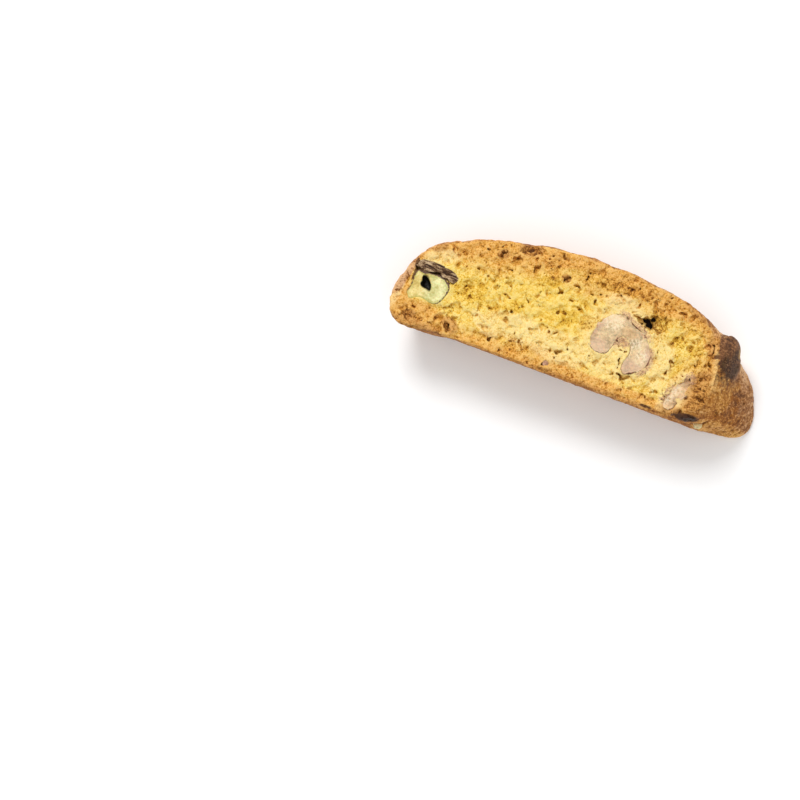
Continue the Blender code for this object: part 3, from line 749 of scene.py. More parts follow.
# Near-black places on the end nut and on the char round it.
BURNT = [
    (28.9, 12.9, 2.0, 2.4, 0), (27.9, 11.4, 1.2, 1.2, 0), (29.4, 15.6, 0.7, 1.6, 0),
    (24.4, 1.5, 2.4, 1.0, 0),
]
# Flecks of walnut skin in the crumb: along the nuts' edges, and the loose ones.
SKIN_FLECKS = [
    (9.5, 15.0, 4.4, 1.6, -22), (13.8, 8.0, 1.4, 3.4, 0), (7.6, 10.4, 1.6, 1.6, 0),
    (19.2, 4.4, 1.2, 2.2, -20),
]
LOOSE_FLECKS = [(7.9, 10.7, 1.7, 1.3, -10), (22.6, 8.4, 1.4, 1.6, 0)]
# Crumb coloured darker: painted shade in the hollows and the dimple, and a darker tone in the other
# patches.
PAINTED_SHADE_AND_DARKER_CRUMB = [
    (-23.2, 9.8, 3.4, 2.7, 0), (13.0, 16.3, 2.4, 2.0, 0), (17.8, 14.4, 1.5, 1.2, 40),
    (21.8, 14.0, 1.3, 1.6, 0), (1.0, 12.0, 2.2, 1.2, 30), (-3.6, 11.4, 2.2, 1.4, 0),
    (-9.0, 17.0, 2.6, 1.2, 20), (-3.0, 6.8, 1.8, 1.0, 0), (-14.0, 9.6, 2.0, 1.4, 30),
    (0.0, 20.3, 10.0, 1.3, 0), (25.6, 5.2, 1.5, 2.8, 0),
]
# Where the char fades out slowly into the crust below the end nut.
SCORCHED = [(29.6, 10.2, 3.4, 2.6, 0)]
# Golden crust.
GOLD_PLACES = [(29.8, 7.5, 1.8, 3.6, 10), (31.0, 1.2, 6.0, 1.7, 6), (30.6, 10.2, 2.0, 1.5, 0)]
# A painted highlight: the sharp rim between the upper face and the right end's crust, coloured lighter.
RIDGE_HIGHLIGHT = [(26.9, 12.0, 1.3, 4.4, 12)]
# Where the crumb is finer and more even: elsewhere small dark pits are painted between the grains, as
# painted shade.
EVEN_CRUMB = [(-8.0, 11.5, 13.0, 5.5, 6)]
# Pale, creamy crumb.
PALE_PLACES = [
    (8.0, 10.5, 8.2, 7.2, 0), (21.0, 5.0, 2.5, 5.0, -18), (-30.0, 14.0, 3.4, 1.4, 22),
    (5.5, 17.5, 3.5, 1.8, 0), (-3.0, 5.5, 7.0, 3.0, 0), (-18.0, 4.6, 3.4, 1.3, -30),
    (-36.0, 6.5, 1.0, 4.5, 0), (-12.0, 6.2, 6.0, 2.6, 0), (16.4, 9.0, 2.2, 5.0, 0),
]
# The kernel's line of skin, and the walnut's and sliver's flakes, lines and tones. On the walnut the white
# places and the upper-left pale place are painted highlights; the sliver's white is its own paler streak.
KERNEL_LINE = [(-27.0, 8.0, 1.6, 3.2, 15), (-30.5, 10.3, 3.6, 0.9, 0), (-34.0, 8.4, 0.8, 3.0, 0)]
WALNUT_ROUGH = [(9.6, 14.6, 4.6, 1.8, -24), (2.2, 10.5, 1.2, 3.0, 0), (11.0, 5.6, 2.0, 1.2, 0)]
WALNUT_PLACES = {
    "pale": [(4.9, 14.2, 2.0, 1.7, 30), (11.8, 9.8, 1.2, 2.0, 0)],
    "white_and_highlight": [(5.3, 13.7, 1.9, 1.5, 20), (10.6, 11.2, 1.4, 1.0, 30), (12.4, 9.4, 1.0, 1.8, 0)],
    "tan": [(8.6, 12.8, 1.7, 1.0, -10)],
    "pink": [
        (3.6, 8.4, 2.2, 1.5, 0), (11.0, 6.6, 2.2, 1.6, 0), (2.6, 12.2, 0.8, 2.4, -20),
        (13.4, 10.6, 0.8, 2.2, 10),
    ],
    "line": [
        (12.8, 7.5, 2.6, 3.8, 0), (3.4, 7.4, 2.6, 1.4, 0), (9.3, 8.0, 1.0, 3.0, 0), (6.3, 9.4, 0.8, 2.4, 0),
    ],
    "flaky": [(9.6, 14.8, 4.6, 1.5, -24), (2.0, 10.8, 1.0, 3.0, 0), (7.4, 10.8, 1.6, 1.2, 0)],
}
SLIVER_PLACES = {
    "tan": [(22.4, 8.6, 1.0, 1.2, 0)],
    "white_and_highlight": [(20.6, 4.6, 0.7, 2.6, -24)],
    "line": [(19.3, 4.2, 0.9, 2.4, -20)],
}
SLIVER_FLAKY = [(22.0, 8.2, 1.4, 1.8, 0)]
# Where the end nut is coloured pale: it fades into the tan crust at its upper left, and a painted highlight
# runs along its right edge.
END_NUT_MERGE_AND_HIGHLIGHT = [(30.5, 16.8, 0.8, 2.0, 12), (25.6, 19.4, 1.0, 1.2, 0)]


def edge_distance(name, p):
    """Distance from each point to a cut nut's outline, seen from above."""
    edge, _, _, count, _ = CUT_NUTS[name]
    return loop_distance(as_array(even_loop(edge, count)), p[:, 0], p[:, 1])


def body_toast(p, inward):
    """How toasted the crumb is: most at the crust, and further in under the dome."""
    toast = np.exp(-np.maximum(inward, 0) / (2.0 + 2.4 * ease(p[:, 1], 12, 18)))
    return np.maximum(0.95 * toast, 0.9 * spots_on(p, TOASTED)) + 0.3 * spots_on(p, GOLDEN)


def body_char(p):
    """Char on the crust round the end nut and the flake."""
    from_nut = whole_nut_field(Points(p), WHOLE_NUTS["end_nut"])
    from_flake = whole_nut_field(Points(p), WHOLE_NUTS["skin_flake"])
    scorched = 0.45 * ease(from_nut, 2.2, 0.3) * spots_on(p, SCORCHED)
    return np.maximum(np.maximum(ease(from_nut, 0.7, 0.0), scorched), ease(from_flake, 0.6, 0.0))


def build_body():
    grid = Grid(BODY_LOW, BODY_HIGH, BODY_STEP)
    field, side, top, wrinkles = build_body_field(grid)
    points, quads = largest_piece(*surface_nets(grid, field))
    face = -grid.sample(top, points) < FACE_DEPTH
    obj = thinned(make_object("crumb_and_crust", points, quads), BODY_TRIANGLES, np.where(face, 0.1, 1.0))
    p = section_points(obj)
    filled = (field < 0).astype(np.float32)
    inward = -grid.sample(side, p)
    below = np.minimum(-grid.sample(top, p), p[:, 2])
    walnut, sliver = edge_distance("walnut_piece", p), edge_distance("walnut_sliver", p)
    skins = spots_on(p, SKIN_FLECKS)
    flecks = ease(np.abs(np.minimum(walnut, sliver)), 1.5, 0.2) * (below < 1.2) * (0.3 + 0.7 * skins)
    seen = np.maximum(ease(p[:, 2], 3.0, 11.0), ease(p[:, 0], 22.0, 30.0))
    near_top = ease(p[:, 2], 11.5, 13.0)
    open_edge = spots_on(p, OPEN_EDGE) * near_top
    for name, values in (
        ("inward", inward),
        ("below", below),
        ("toast", body_toast(p, inward)),
        ("tan", spots_on(p, TAN_PLACES) * seen),
        ("gold", spots_on(p, GOLD_PLACES)),
        ("skinned", spots_on(p, SKINNED) - 0.7 * open_edge),
        # Painted highlights on the crust.
        ("light", spots_on(p, PAINTED_CRUST_HIGHLIGHTS) * seen),
        ("edge", ease(p[:, 2], 11.0, 13.6)),
        ("wrinkle", grid.sample(wrinkles, p)),
        ("open", open_edge),
        ("halo", spots_on(p, PALE_PLACES)),
        ("browned", spots_on(p, BROWNED)),
        # Painted shade in hollows, and darker crumb patches.
        ("shade", spots_on(p, PAINTED_SHADE_AND_DARKER_CRUMB)),
        ("ridge_highlight", spots_on(p, RIDGE_HIGHLIGHT) * ease(p[:, 2], 12.6, 13.4)),
        ("rugged", 1 - spots_on(p, EVEN_CRUMB)),
        ("ring", ease(np.abs(walnut), 1.3, 0.5) * skins),
        ("flecks", np.maximum(flecks, spots_on(p, LOOSE_FLECKS))),
        ("char", body_char(p)),
        ("burnt", spots_on(p, BURNT)),
        # How enclosed each point is, from which the look paints shade into recesses.
        ("cavity", 2 * grid.sample(blurred(filled, 1), p) - 1),
        ("stain_and_shade", spots_on(p, STAINS_AND_SLOT_SHADE) * near_top),
    ):
        paint(obj, name, values)
    return obj


def cut_nut_grid(nut):
    """A grid that holds a cut nut with room to spare."""
    edge = as_array(nut[0])
    low, high = edge.min(axis=0) - 0.9, edge.max(axis=0) + 0.9
    high[0] += NUT_LEAN * nut[1]
    return Grid((*low, THICKNESS - nut[1] - 0.6), (*high, THICKNESS + 0.9), NUT_STEP)


def finish_nut(name, grid, field, extra=()):
    """Meshes a nut's field and paints it. extra: (name, field) pairs."""
    points, quads = largest_piece(*surface_nets(grid, field))
    obj = make_object(name + "_cut", points, quads)
    filled = (field < 0).astype(np.float32)
    # How enclosed each point is; the looks paint shade into recesses by it.
    paint(obj, "cavity", 2 * grid.sample(blurred(filled, 2), points) - 1)
    for label, values in extra:
        paint(obj, label, grid.sample(values, points))
    return obj


def build_kernel():
    nut = CUT_NUTS["pistachio_kernel"]
    grid = cut_nut_grid(nut)
    rim = cut_nut_field(grid, nut, 1.6)
    top = grid.z - THICKNESS - 0.07 * ripple(grid, 1.4, 41) - 0.03 * ripple(grid, 0.5, 42)
    field = smooth_max(rim - 0.1 + 0.08 * ripple(grid, 0.9, 43) + 0.05 * ripple(grid, 0.45, 47), top, 0.22)
    warp = [0.10 * ripple(grid, 0.8, seed) for seed in (44, 45, 46)]
    x, y, long, short, turn, deep = KERNEL_HOLLOW
    carve_hollow(field, grid, warp, (x, y, THICKNESS), (long, short, deep), turn)
    notch = (0.65 * long, 1.1 * short, deep)
    carve_hollow(field, grid, warp, (x - 0.1, y - 0.35, THICKNESS), notch, turn + 30)
    obj = finish_nut("pistachio_kernel", grid, field, [("rim", -rim), ("below", -top)])
    points = section_points(obj)
    paint(obj, "yellow", ease(points[:, 0], -29.5, -32.5))
    paint(obj, "line", spots_on(points, KERNEL_LINE))
    return obj


def build_skin():
    nut = CUT_NUTS["pistachio_skin"]
    grid = cut_nut_grid(nut)
    rim = cut_nut_field(grid, nut, 0.6)
    ridges = ripple(grid, (1.6, 0.34, 1.2), 51)
    top = grid.z - THICKNESS - 0.13 * ridges - 0.06 * ripple(grid, 0.5, 52)
    field = smooth_max(rim - 0.18 + 0.08 * ripple(grid, 0.6, 53), top, 0.15)
    return finish_nut("pistachio_skin", grid, field)


def build_walnut():
    nut = CUT_NUTS["walnut_piece"]
    grid = cut_nut_grid(nut)
    rim = cut_nut_field(grid, nut, 1.4)
    flaky = spots(grid.x, grid.y, WALNUT_ROUGH)
    coarse = 0.3 + 0.7 * flaky
    top = grid.z - THICKNESS - 0.12 * ripple(grid, 1.8, 61) - 0.14 * coarse * ripple(grid, 0.5, 62)
    rim = rim + (0.05 + 0.1 * flaky) * ripple(grid, 1.2, 63) + (0.03 + 0.15 * flaky) * ripple(grid, 0.5, 64)
    field = smooth_max(rim, top, 0.3)
    obj = finish_nut("walnut_piece", grid, field, [("rim", -rim)])
    points = section_points(obj)
    for label, places in WALNUT_PLACES.items():
        paint(obj, label, spots_on(points, places))
    return obj


def build_sliver():
    nut = CUT_NUTS["walnut_sliver"]
    grid = cut_nut_grid(nut)
    rim = cut_nut_field(grid, nut, 0.6)
    top = grid.z - THICKNESS + 0.12 - 0.18 * ripple(grid, 1.0, 71) - 0.16 * ripple(grid, 0.42, 72)
    rim = rim + 0.28 * ripple(grid, 0.9, 73) + 0.18 * ripple(grid, 0.45, 74)
    field = smooth_max(rim, top, 0.3)
    obj = finish_nut("walnut_sliver", grid, field, [("rim", -rim)])
    points = section_points(obj)
    paint(obj, "flaky", 0.75 + 0.25 * spots_on(points, SLIVER_FLAKY))
    for label, places in SLIVER_PLACES.items():
        paint(obj, label, spots_on(points, places))
    return obj


def build_crumb_nut():
    nut = CUT_NUTS["walnut_crumb"]
    grid = cut_nut_grid(nut)
    rim = cut_nut_field(grid, nut, 0.4)
    top = grid.z - THICKNESS - 0.08 * ripple(grid, 0.7, 76)
    field = smooth_max(rim + 0.05 * ripple(grid, 0.5, 77), top, 0.2)
    return finish_nut("walnut_crumb", grid, field, [("rim", -rim)])


def build_whole_nut(name, seed, wrinkle, size):
    """A whole nut with wrinkles this deep and about this far apart."""
    nut = WHOLE_NUTS[name]
    reach = max(nut[1]) + 1.4
    grid = Grid([c - reach for c in nut[0]], [c + reach for c in nut[0]], NUT_STEP)
    field = whole_nut_field(grid, nut) + wrinkle * ripple(grid, size, seed)
    return finish_nut(name, grid, field + 0.02 * ripple(grid, 0.4, seed + 1))


def build_end_nut():
    obj = build_whole_nut("end_nut", 81, 0.09, 1.5)
    points = section_points(obj)
    paint(obj, "burnt", spots_on(points, BURNT))
    paint(obj, "merge_and_highlight", spots_on(points, END_NUT_MERGE_AND_HIGHLIGHT) * ease(points[:, 2], 7.0, 9.2))
    return obj


def linear(level):
    """A screen level from 0 to 255, as the linear value that shaders use."""
    return ((level / 255 + 0.055) / 1.055) ** 2.4 if level > 10 else level / 3295


def tone(red, green, blue):
    """A colour as seen on a screen, for a shader."""
    return linear(red), linear(green), linear(blue), 1.0


class Look:
    """A node material in the making. Sizes are in millimetres."""

    def __init__(self, name, roughness, **settings):
        self.material = bpy.data.materials.new(name)
        self.material.use_nodes = True
        self.nodes = self.material.node_tree.nodes
        self.links = self.material.node_tree.links
        self.shader = self.nodes["Principled BSDF"]
        self.shader.inputs["Roughness"].default_value = roughness
        for key, value in settings.items():
            self.shader.inputs[key.replace("_", " ")].default_value = value

    def node(self, kind, **inputs):
        made = self.nodes.new("ShaderNode" + kind)
        for key, value in inputs.items():
            self.feed(made.inputs[key], value)
        return made

    def feed(self, socket, value):
        """Gives a socket a node's result, the number painted under a name, or a plain value."""
        if isinstance(value, str):
            value = self.attribute(value)
        if isinstance(value, bpy.types.NodeSocket):
            self.links.new(value, socket)
        else:
            socket.default_value = value

    def attribute(self, name):
        """The number that paint stored under this name."""
        made = self.nodes.new("ShaderNodeAttribute")
        made.attribute_name = name
        return made.outputs["Fac"]

    def noise(self, size, detail=2.0, roughness=0.5, stretch=(1, 1, 1), offset=0.0):
        place = self.node("TexCoord").outputs["Object"]
        scaled = self.node("Mapping", Vector=place, Scale=stretch, Location=(offset,) * 3)
        made = self.node("TexNoise", Vector=scaled.outputs[0], Scale=1 / (size * MM))
        made.inputs["Detail"].default_value = detail
        made.inputs["Roughness"].default_value = roughness
        return made.outputs["Fac"]

    def sum(self, *terms):
        """The terms added up, each a value or a value with its factor."""
        total = 0.0
        for term in terms:
            value, factor = term if isinstance(term, tuple) else (term, 1.0)
            made = self.nodes.new("ShaderNodeMath")
            made.operation = "MULTIPLY_ADD"
            self.feed(made.inputs[0], value)
            self.feed(made.inputs[1], factor)
            self.feed(made.inputs[2], total)
            total = made.outputs[0]
        return total

    def times(self, a, b):
        made = self.nodes.new("ShaderNodeMath")
        made.operation = "MULTIPLY"
        self.feed(made.inputs[0], a)
        self.feed(made.inputs[1], b)
        return made.outputs[0]

    def ease(self, value, low, high):
        made = self.nodes.new("ShaderNodeMapRange")
        made.interpolation_type = "SMOOTHSTEP"
        self.feed(made.inputs["Value"], value)
        self.feed(made.inputs["From Min"], low)
        self.feed(made.inputs["From Max"], high)
        return made.outputs["Result"]

    def ramp(self, value, stops):
        """A colour that runs through the stops, each a place from 0 to 1 and a tone."""
        made = self.nodes.new("ShaderNodeValToRGB")
        self.feed(made.inputs[0], value)
        elements = made.color_ramp.elements
        while len(elements) < len(stops):
            elements.new(0.5)
        for element, (place, colour) in zip(elements, stops):
            element.position = place
            element.color = tone(*colour)
        return made.outputs["Color"]

    def mix(self, share, a, b):
        made = self.nodes.new("ShaderNodeMix")
        made.data_type = "RGBA"
        self.feed(made.inputs[0], share)
        self.feed(made.inputs[6], a)
        self.feed(made.inputs[7], b)
        return made.outputs[2]

    def over(self, under, cover, amount, low, high, share=1.0):
        """Lays cover on under where the amount rises from low to high, by this share at most."""
        return self.mix(self.times(self.ease(amount, low, high), share), under, cover)

    def tint(self, under, name, share, cover):
        """Lays cover on under by this share of a painted number."""
        return self.mix(self.times(name, share), under, cover)

    def bump(self, height, strength, distance):
        made = self.node("Bump", Height=height, Strength=strength, Distance=distance * MM)
        self.links.new(made.outputs[0], self.shader.inputs["Normal"])

    def colour(self, value):
        self.feed(self.shader.inputs["Base Color"], value)

    def rough(self, value):
        self.feed(self.shader.inputs["Roughness"], value)


# Ramps of tones, from lit grains to deep pits or from dark to light; on the crumb ramps the dark end is
# painted pit shade as well as darker crumb.
FRESH_CRUMB = (
    (0.0, (241, 213, 128)), (0.25, (236, 203, 102)), (0.5, (230, 188, 74)), (0.75, (216, 168, 46)),
    (0.9, (190, 138, 30)), (1.0, (146, 98, 20)),
)
BAKED_CRUMB = (
    (0.0, (232, 181, 102)), (0.25, (222, 165, 78)), (0.48, (208, 147, 56)), (0.7, (186, 123, 38)),
    (0.88, (154, 95, 26)), (1.0, (106, 62, 18)),
)
BROWNED_CRUMB = (
    (0.0, (208, 153, 84)), (0.25, (189, 132, 62)), (0.48, (166, 108, 44)), (0.7, (136, 83, 28)),
    (1.0, (86, 50, 18)),
)
CREAM_CRUMB = (
    (0.0, (246, 222, 164)), (0.35, (240, 208, 142)), (0.7, (212, 166, 96)), (1.0, (150, 102, 50)),
)
# Tones of the painted highlight on the right end's rim.
RIDGE_HIGHLIGHT_CRUMB = ((0.1, (240, 198, 126)), (0.8, (206, 146, 72)))
SKIN_FLECK = ((0.4, (140, 90, 62)), (0.6, (216, 172, 136)))
BROWN_CRUST = ((0.15, (106, 57, 10)), (0.42, (146, 86, 23)), (0.58, (167, 104, 34)), (0.85, (203, 142, 67)))
TAN_CRUST = ((0.15, (108, 65, 28)), (0.42, (150, 99, 53)), (0.58, (170, 119, 72)), (0.85, (210, 165, 118)))
GOLDEN_CRUST = (
    (0.15, (134, 80, 22)), (0.42, (174, 114, 40)), (0.58, (192, 134, 58)), (0.85, (224, 172, 98)),
)
CHAR = ((0.0, (34, 20, 14)), (0.3, (74, 44, 28)), (0.5, (108, 68, 42)), (0.75, (146, 102, 68)))
GREEN_KERNEL = ((0.1, (186, 178, 104)), (0.5, (212, 204, 138)), (0.9, (234, 228, 168)))
YELLOW_KERNEL = ((0.1, (192, 164, 80)), (0.5, (217, 194, 114)), (0.9, (236, 218, 150)))
DARK_SKIN = ((0.1, (40, 24, 14)), (0.4, (82, 54, 32)), (0.65, (134, 104, 72)), (0.9, (196, 168, 132)))
ROASTED = ((0.15, (56, 32, 18)), (0.5, (104, 66, 38)), (0.85, (160, 112, 72)))
BURNT_SKIN = ((0.4, (22, 12, 7)), (0.5, (54, 34, 20)), (0.6, (130, 94, 64)))
TABLE = ((0.3, (252, 252, 252)), (0.7, (255, 255, 255)))
# How dark and how light a nut's flesh gets, as shares of its own tone.
FLESH_DARK = 0.82
FLESH_LIGHT = 1.11


def crumb_colour(look, patches, grain, speck):
    """Crumb from fresh to browned, with flecks of skin, and painted shade that darkens its pits and holes.
    """
    toast = look.sum("toast", (patches, 0.9), (grain, 0.5), -0.68)
    # The ramp place: painted shade that grows with depth below the face, with enclosure (cavity) and in the
    # shade patches, over the crumb's own random tone.
    depth = look.sum(("below", 0.25), ("cavity", 0.55), (grain, 1.8), (speck, 2.0), (patches, 0.6),
                     ("halo", -0.12), ("shade", 0.3), -1.94)
    # Small dark pits painted as shade between the grains, where the crumb is rugged.
    pits = look.sum((speck, 1.1), (look.noise(0.6, 2, 0.6, offset=2.0), 1.0), -1.12)
    depth = look.sum(depth, look.times(pits, "rugged"))
    crumb = look.over(look.ramp(depth, FRESH_CRUMB), look.ramp(depth, BAKED_CRUMB), toast, 0.05, 0.95)
    pale = look.sum("halo", (grain, 0.8), -0.45)
    crumb = look.over(crumb, look.ramp(depth, CREAM_CRUMB), pale, 0.0, 0.8, 0.45)
    browned = look.sum("browned", (grain, 1.2), -0.6)
    crumb = look.over(crumb, look.ramp(depth, BROWNED_CRUMB), browned, 0.0, 1.0, 0.85)
    crumb = look.tint(crumb, "ring", 0.45, tone(222, 184, 144))
    flecks = look.sum("flecks", (look.noise(0.45, 3, 0.7, offset=9.0), 3.0), -2.05)
    crumb = look.over(crumb, look.ramp(speck, SKIN_FLECK), flecks, 0.0, 0.5, 0.8)
    # Painted shade in the holes: dark brown from 1 mm below the face, near black from 1.8 mm.
    within = look.ease("inward", 1.0, 2.0)
    hole_shade = look.times(look.times(look.ease("below", 1.0, 2.1), 0.5), within)
    crumb = look.mix(hole_shade, crumb, tone(126, 80, 26))
    crumb = look.over(crumb, tone(34, 20, 10), "below", 1.8, 2.6, within)
    # Painted highlight along the rim between the face and the right end's crust.
    ridge_highlight = look.times("ridge_highlight", look.ease("inward", 1.1, 0.3))
    return look.mix(look.times(ridge_highlight, 0.75), crumb, look.ramp(depth, RIDGE_HIGHLIGHT_CRUMB))


def crust_colour(look):
    """Crust in brown, tan and golden zones, mottled, with dark and pale pores."""
    slope = (1, 1, 0.65)
    pores = look.noise(0.45, 3, 0.7, slope, 6.0)
    # Painted shade and light in the mottle: darker in the crust's cavities and wrinkle grooves, lighter at
    # the painted crust highlights.
    mottle = look.sum((look.noise(2.0, 4, 0.7, slope), 1.3), (look.noise(6.0, 2), 0.6), (pores, 1.7),
                      ("cavity", -0.6), ("wrinkle", -0.4), ("light", 0.38), -1.29)
    golden = look.ramp(mottle, GOLDEN_CRUST)
    zones = look.noise(5.0, 3, 0.6, offset=7.0)
    tan = look.sum("tan", (zones, 3.4), -1.7)
    crust = look.over(look.ramp(mottle, BROWN_CRUST), look.ramp(mottle, TAN_CRUST), tan, 0.0, 1.0)
    gold = look.sum("gold", (zones, -1.6), 0.7)
    crust = look.over(crust, golden, gold, 0.2, 1.2)
    rim = look.sum(("edge", 0.5), ("skinned", -0.5))
    crust = look.mix(rim, crust, golden)
    crust = look.over(crust, tone(220, 174, 122), pores, 0.57, 0.68, 0.5)
    return look.over(crust, tone(98, 54, 20), pores, 0.42, 0.34, 0.8)


def crumb_look():
    look = Look("baked_crumb_look", 0.8, Subsurface_Weight=0.12, Subsurface_Scale=1.2 * MM,
                Specular_IOR_Level=0.25)
    look.shader.inputs["Subsurface Radius"].default_value = (1.0, 0.6, 0.25)
    patches = look.noise(4.0, 2)
    grain = look.noise(0.75, 4, 0.7)
    speck = look.noise(0.3, 3, 0.7, offset=4.0)
    inside = look.sum("inward", (grain, 0.5), ("open", 0.5), ("ridge_highlight", 0.35), ("skinned", -1.2))
    shell = look.ease(inside, 0.66, 0.3)
    colour = look.mix(shell, crumb_colour(look, patches, grain, speck), crust_colour(look))
    char = look.sum(("char", 1.5), (grain, 1.6), -1.05)
    shade = look.sum((speck, 1.6), ("burnt", -0.45), -0.3)
    colour = look.over(colour, look.ramp(shade, CHAR), char, 0.0, 0.7, 0.9)
    # Dark stains, and painted shade in the slot under the pistachio skin.
    stain_and_shade_share = look.sum(("stain_and_shade", 1.3), (grain, 2.0), (speck, 1.4), -2.2)
    look.colour(look.over(colour, tone(84, 50, 26), stain_and_shade_share, 0.0, 0.7, 0.9))
    look.rough(look.sum((grain, 0.25), 0.62))
    relief = look.sum((look.noise(0.5, 3, 0.6), 0.7), (speck, 0.5))
    look.bump(look.times(relief, look.sum(1.0, (shell, -0.6))), 0.8, 0.32)
    return look.material


def kernel_look():
    look = Look("pistachio_flesh_look", 0.5, Subsurface_Weight=0.15, Subsurface_Scale=1.0 * MM)
    patches = look.noise(2.2, 2)
    grain = look.noise(0.4, 3)
    shade = look.sum((patches, 2.4), (grain, 1.4), -1.4)
    yellow = look.sum("yellow", (grain, 0.6), -0.3)
    flesh = look.over(look.ramp(shade, GREEN_KERNEL), look.ramp(shade, YELLOW_KERNEL), yellow, 0.1, 0.9)
    outer = look.sum("rim", (grain, 0.7))
    flesh = look.over(flesh, tone(178, 166, 74), outer, 0.95, 0.4, 0.6)
    skin = look.sum(("rim", -2.6), (grain, 2.0), ("line", 0.8), -0.95)
    flesh = look.over(flesh, tone(92, 62, 42), skin, 0.0, 0.5)
    # Painted shade: near black down in the hollow between the kernel's halves.
    look.colour(look.over(flesh, tone(24, 20, 10), "below", 0.25, 1.0))
    look.rough(look.sum((grain, 0.3), 0.35))
    look.bump(grain, 0.4, 0.08)
    return look.material


def skin_look():
    look = Look("dark_skin_look", 0.65, Specular_IOR_Level=0.2)
    streaks = look.noise(0.6, 4, 0.7, stretch=(0.3, 1.5, 0.5))
    fine = look.noise(0.2, 2)
    # The light streaks are painted highlights along the wrinkles as well as paler streaks of skin; the skin
    # is painted darker in its cavities as shade.
    shade = look.sum((streaks, 3.2), (fine, 1.0), ("cavity", -0.3), -1.55)
    look.colour(look.ramp(shade, DARK_SKIN))
    look.rough(look.sum((fine, 0.3), 0.4))
    look.bump(look.sum(streaks, (fine, 0.4)), 0.6, 0.12)
    return look.material


def flesh_look(name, flesh_tone, line_tone=None):
    """Nut flesh of this tone, with a broken line of skin round it where a line tone is given."""
    look = Look(name, 0.6, Subsurface_Weight=0.15, Subsurface_Scale=1.2 * MM, Specular_IOR_Level=0.3)
    patches = look.noise(2.2, 3, 0.6)
    grain = look.noise(0.5, 4, 0.75)
    # Painted shade: the flesh is darker where it is enclosed (cavity).
    shade = look.sum((patches, 1.5), (grain, 2.3), ("cavity", -0.5), -1.4)
    # Lighter at the pale places: a painted highlight at the walnut's upper left, and paler flesh elsewhere.
    shade = look.sum(shade, ("pale", 0.3))
    dark = [c * FLESH_DARK for c in flesh_tone]
    light = [min(250, c * FLESH_LIGHT) for c in flesh_tone]
    flesh = look.ramp(shade, ((0.15, dark), (0.5, flesh_tone), (0.85, light)))
    flesh = look.tint(flesh, "tan", 0.4, tone(206, 160, 106))
    flesh = look.tint(flesh, "pink", 0.5, tone(212, 174, 148))
    # White marks: painted highlights on the walnut, white streaks on the sliver.
    white_and_highlight = look.times("white_and_highlight", look.ease(grain, 0.42, 0.6))
    flesh = look.mix(look.times(white_and_highlight, 0.75), flesh, tone(242, 226, 194))
    flakes = look.sum("flaky", (grain, 3.6), -2.65)
    flesh = look.over(flesh, tone(178, 130, 98), flakes, 0.0, 0.6, 0.7)
    if line_tone:
        line = look.sum(("rim", -4.5), (grain, 2.8), ("line", 0.9), -1.1)
        flesh = look.over(flesh, tone(*line_tone), line, 0.0, 0.4)
    look.colour(flesh)
    look.rough(look.sum((grain, 0.3), 0.45))
    look.bump(look.sum(grain, (patches, 0.6)), 0.7, 0.25)
    return look.material


def roasted_look():
    look = Look("roasted_nut_look", 0.7, Specular_IOR_Level=0.25)
    patches = look.noise(2.0, 3, 0.6)
    grain = look.noise(0.5, 4, 0.7)
    # Painted shade: the nut is darker where it is enclosed (cavity).
    shade = look.sum((patches, 0.8), (grain, 1.8), ("cavity", -0.3), -0.8)
    burnt = look.sum("burnt", (grain, 2.4), (patches, 0.8), -1.75)
    black = look.ramp(look.noise(0.35, 3, 0.7, offset=5.0), BURNT_SKIN)
    nut = look.over(look.ramp(shade, ROASTED), black, burnt, 0.0, 1.2, 0.9)
    # The nut fades to tan where it meets the crust, with a painted highlight on its right edge.
    merge_and_highlight = look.sum(("merge_and_highlight", 1.3), (grain, 2.4), -1.6)
    look.colour(look.over(nut, tone(176, 140, 88), merge_and_highlight, 0.0, 0.8, 0.9))
    look.rough(look.sum((grain, 0.3), 0.6))
    look.bump(grain, 0.7, 0.2)
    return look.material


def table_look():
    look = Look("pale_table_look", 0.9)
    look.colour(look.ramp(look.noise(60.0, 2), TABLE))
    return look.material


TABLE_REACH = 4.0


def add_floor():
    corners = [(x * TABLE_REACH, y * TABLE_REACH, 0) for x, y in ((-1, -1), (1, -1), (1, 1), (-1, 1))]
    mesh = bpy.data.meshes.new("table_top")
    mesh.from_pydata(corners, [], [(0, 1, 2, 3)])
    floor = bpy.data.objects.new("table_top", mesh)
    bpy.context.scene.collection.objects.link(floor)
    mesh.materials.append(table_look())


# The photograph looks straight down, with the slice turned in the picture and off its middle.
CAMERA_TURN = 20.4486
CAMERA_AIM = (-28.10, -14.59)
CAMERA_DISTANCE = 3000.0
PICTURE_WIDTH = 153.4
SENSOR_WIDTH = 36.0
# Each area light: name, place and size in metres, and power. The room's own light is even.
LIGHTS = [("window", (-0.45, 0.55, 0.75), 0.4, 6.5), ("fill", (0.6, -0.3, 0.7), 0.8, 1.0)]
ROOM_LIGHT = 0.7


def add_camera():
    data = bpy.data.cameras.new("camera")
    data.sensor_width = SENSOR_WIDTH
    data.lens = data.sensor_width * CAMERA_DISTANCE / PICTURE_WIDTH
    data.clip_end = 20.0
    camera = bpy.data.objects.new("camera", data)
    place = np.array([*CAMERA_AIM, THICKNESS + CAMERA_DISTANCE]) + OFFSET
    camera.location = place * MM
    camera.rotation_euler = (0, 0, math.radians(CAMERA_TURN))
    bpy.context.scene.collection.objects.link(camera)
    bpy.context.scene.camera = camera


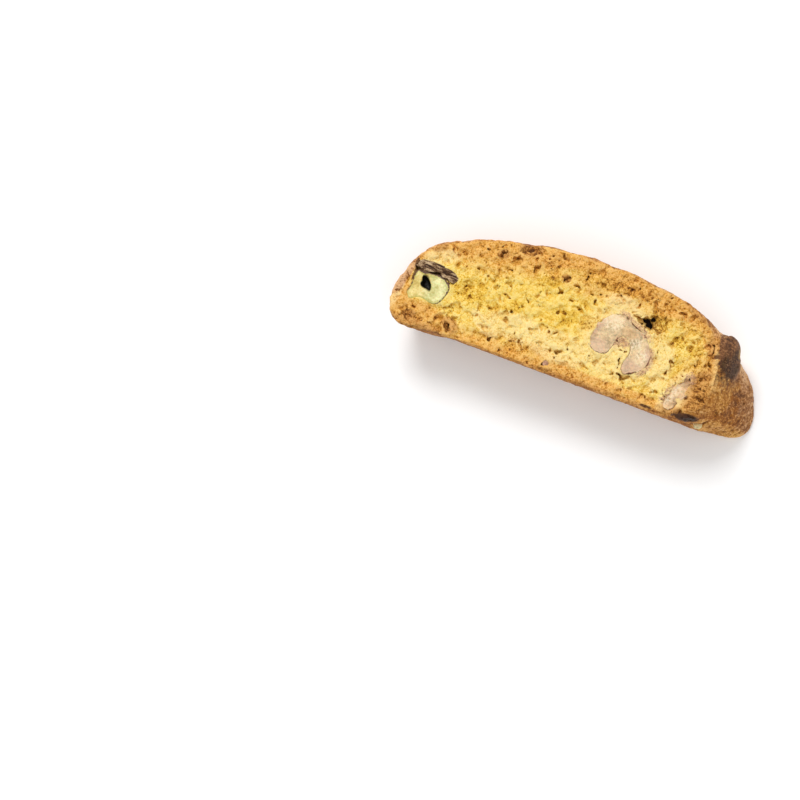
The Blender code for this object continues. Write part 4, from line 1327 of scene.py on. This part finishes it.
def add_lights():
    for name, place, size, power in LIGHTS:
        data = bpy.data.lights.new(name, "AREA")
        data.size = size
        data.energy = power
        light = bpy.data.objects.new(name, data)
        light.location = place
        light.rotation_euler = Vector(place).to_track_quat("Z", "Y").to_euler()
        bpy.context.scene.collection.objects.link(light)
    world = bpy.data.worlds.new("pale_room")
    world.use_nodes = True
    background = world.node_tree.nodes["Background"]
    background.inputs["Color"].default_value = (1.0, 1.0, 1.0, 1.0)
    background.inputs["Strength"].default_value = ROOM_LIGHT
    bpy.context.scene.world = world
    bpy.context.scene.view_settings.view_transform = "Standard"


def section_offset():
    """From the section frame to the row frame, in millimetres, read off the walnut's solid."""
    edge, _, _, count, _ = CUT_NUTS["walnut_piece"]
    loop = as_array(even_loop(edge, count))
    low = np.array(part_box("walnut_piece")[0]) / MM
    return np.array([low[0] - loop[:, 0].min(), low[1] - loop[:, 1].min(), 0.0])


OFFSET = section_offset()
# Each piece: how it is built, the solid it stands for, its material slot and its look.
PIECES = [
    (build_body, "biscotti_slice", "baked_crumb", crumb_look),
    (build_kernel, "pistachio_kernel", "pistachio_flesh", kernel_look),
    (build_skin, "pistachio_skin", "dark_skin", skin_look),
    (build_walnut, "walnut_piece", "walnut_flesh",
     lambda: flesh_look("walnut_flesh_look", (212, 184, 141), (138, 96, 72))),
    (build_sliver, "walnut_sliver", "pale_nut",
     lambda: flesh_look("pale_nut_look", (216, 180, 136), (120, 84, 56))),
    (build_crumb_nut, "walnut_crumb", "pale_nut",
     lambda: flesh_look("skin_nut_look", (190, 144, 112), (108, 68, 44))),
    (build_end_nut, "end_nut", "roasted_nut", roasted_look),
    (lambda: build_whole_nut("skin_flake", 86, 0.16, 0.6), "skin_flake", "dark_skin",
     lambda: flesh_look("dark_flake_look", (60, 34, 18))),
    (lambda: build_whole_nut("pistachio_bit", 91, 0.12, 0.7), "pistachio_bit", "pistachio_flesh",
     lambda: flesh_look("pale_bit_look", (210, 190, 140))),
]
for build, node, slot, look in PIECES:
    piece = build()
    piece.data.materials.append(look())
    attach(piece, "root")
    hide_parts(node)
add_floor()
add_camera()
add_lights()
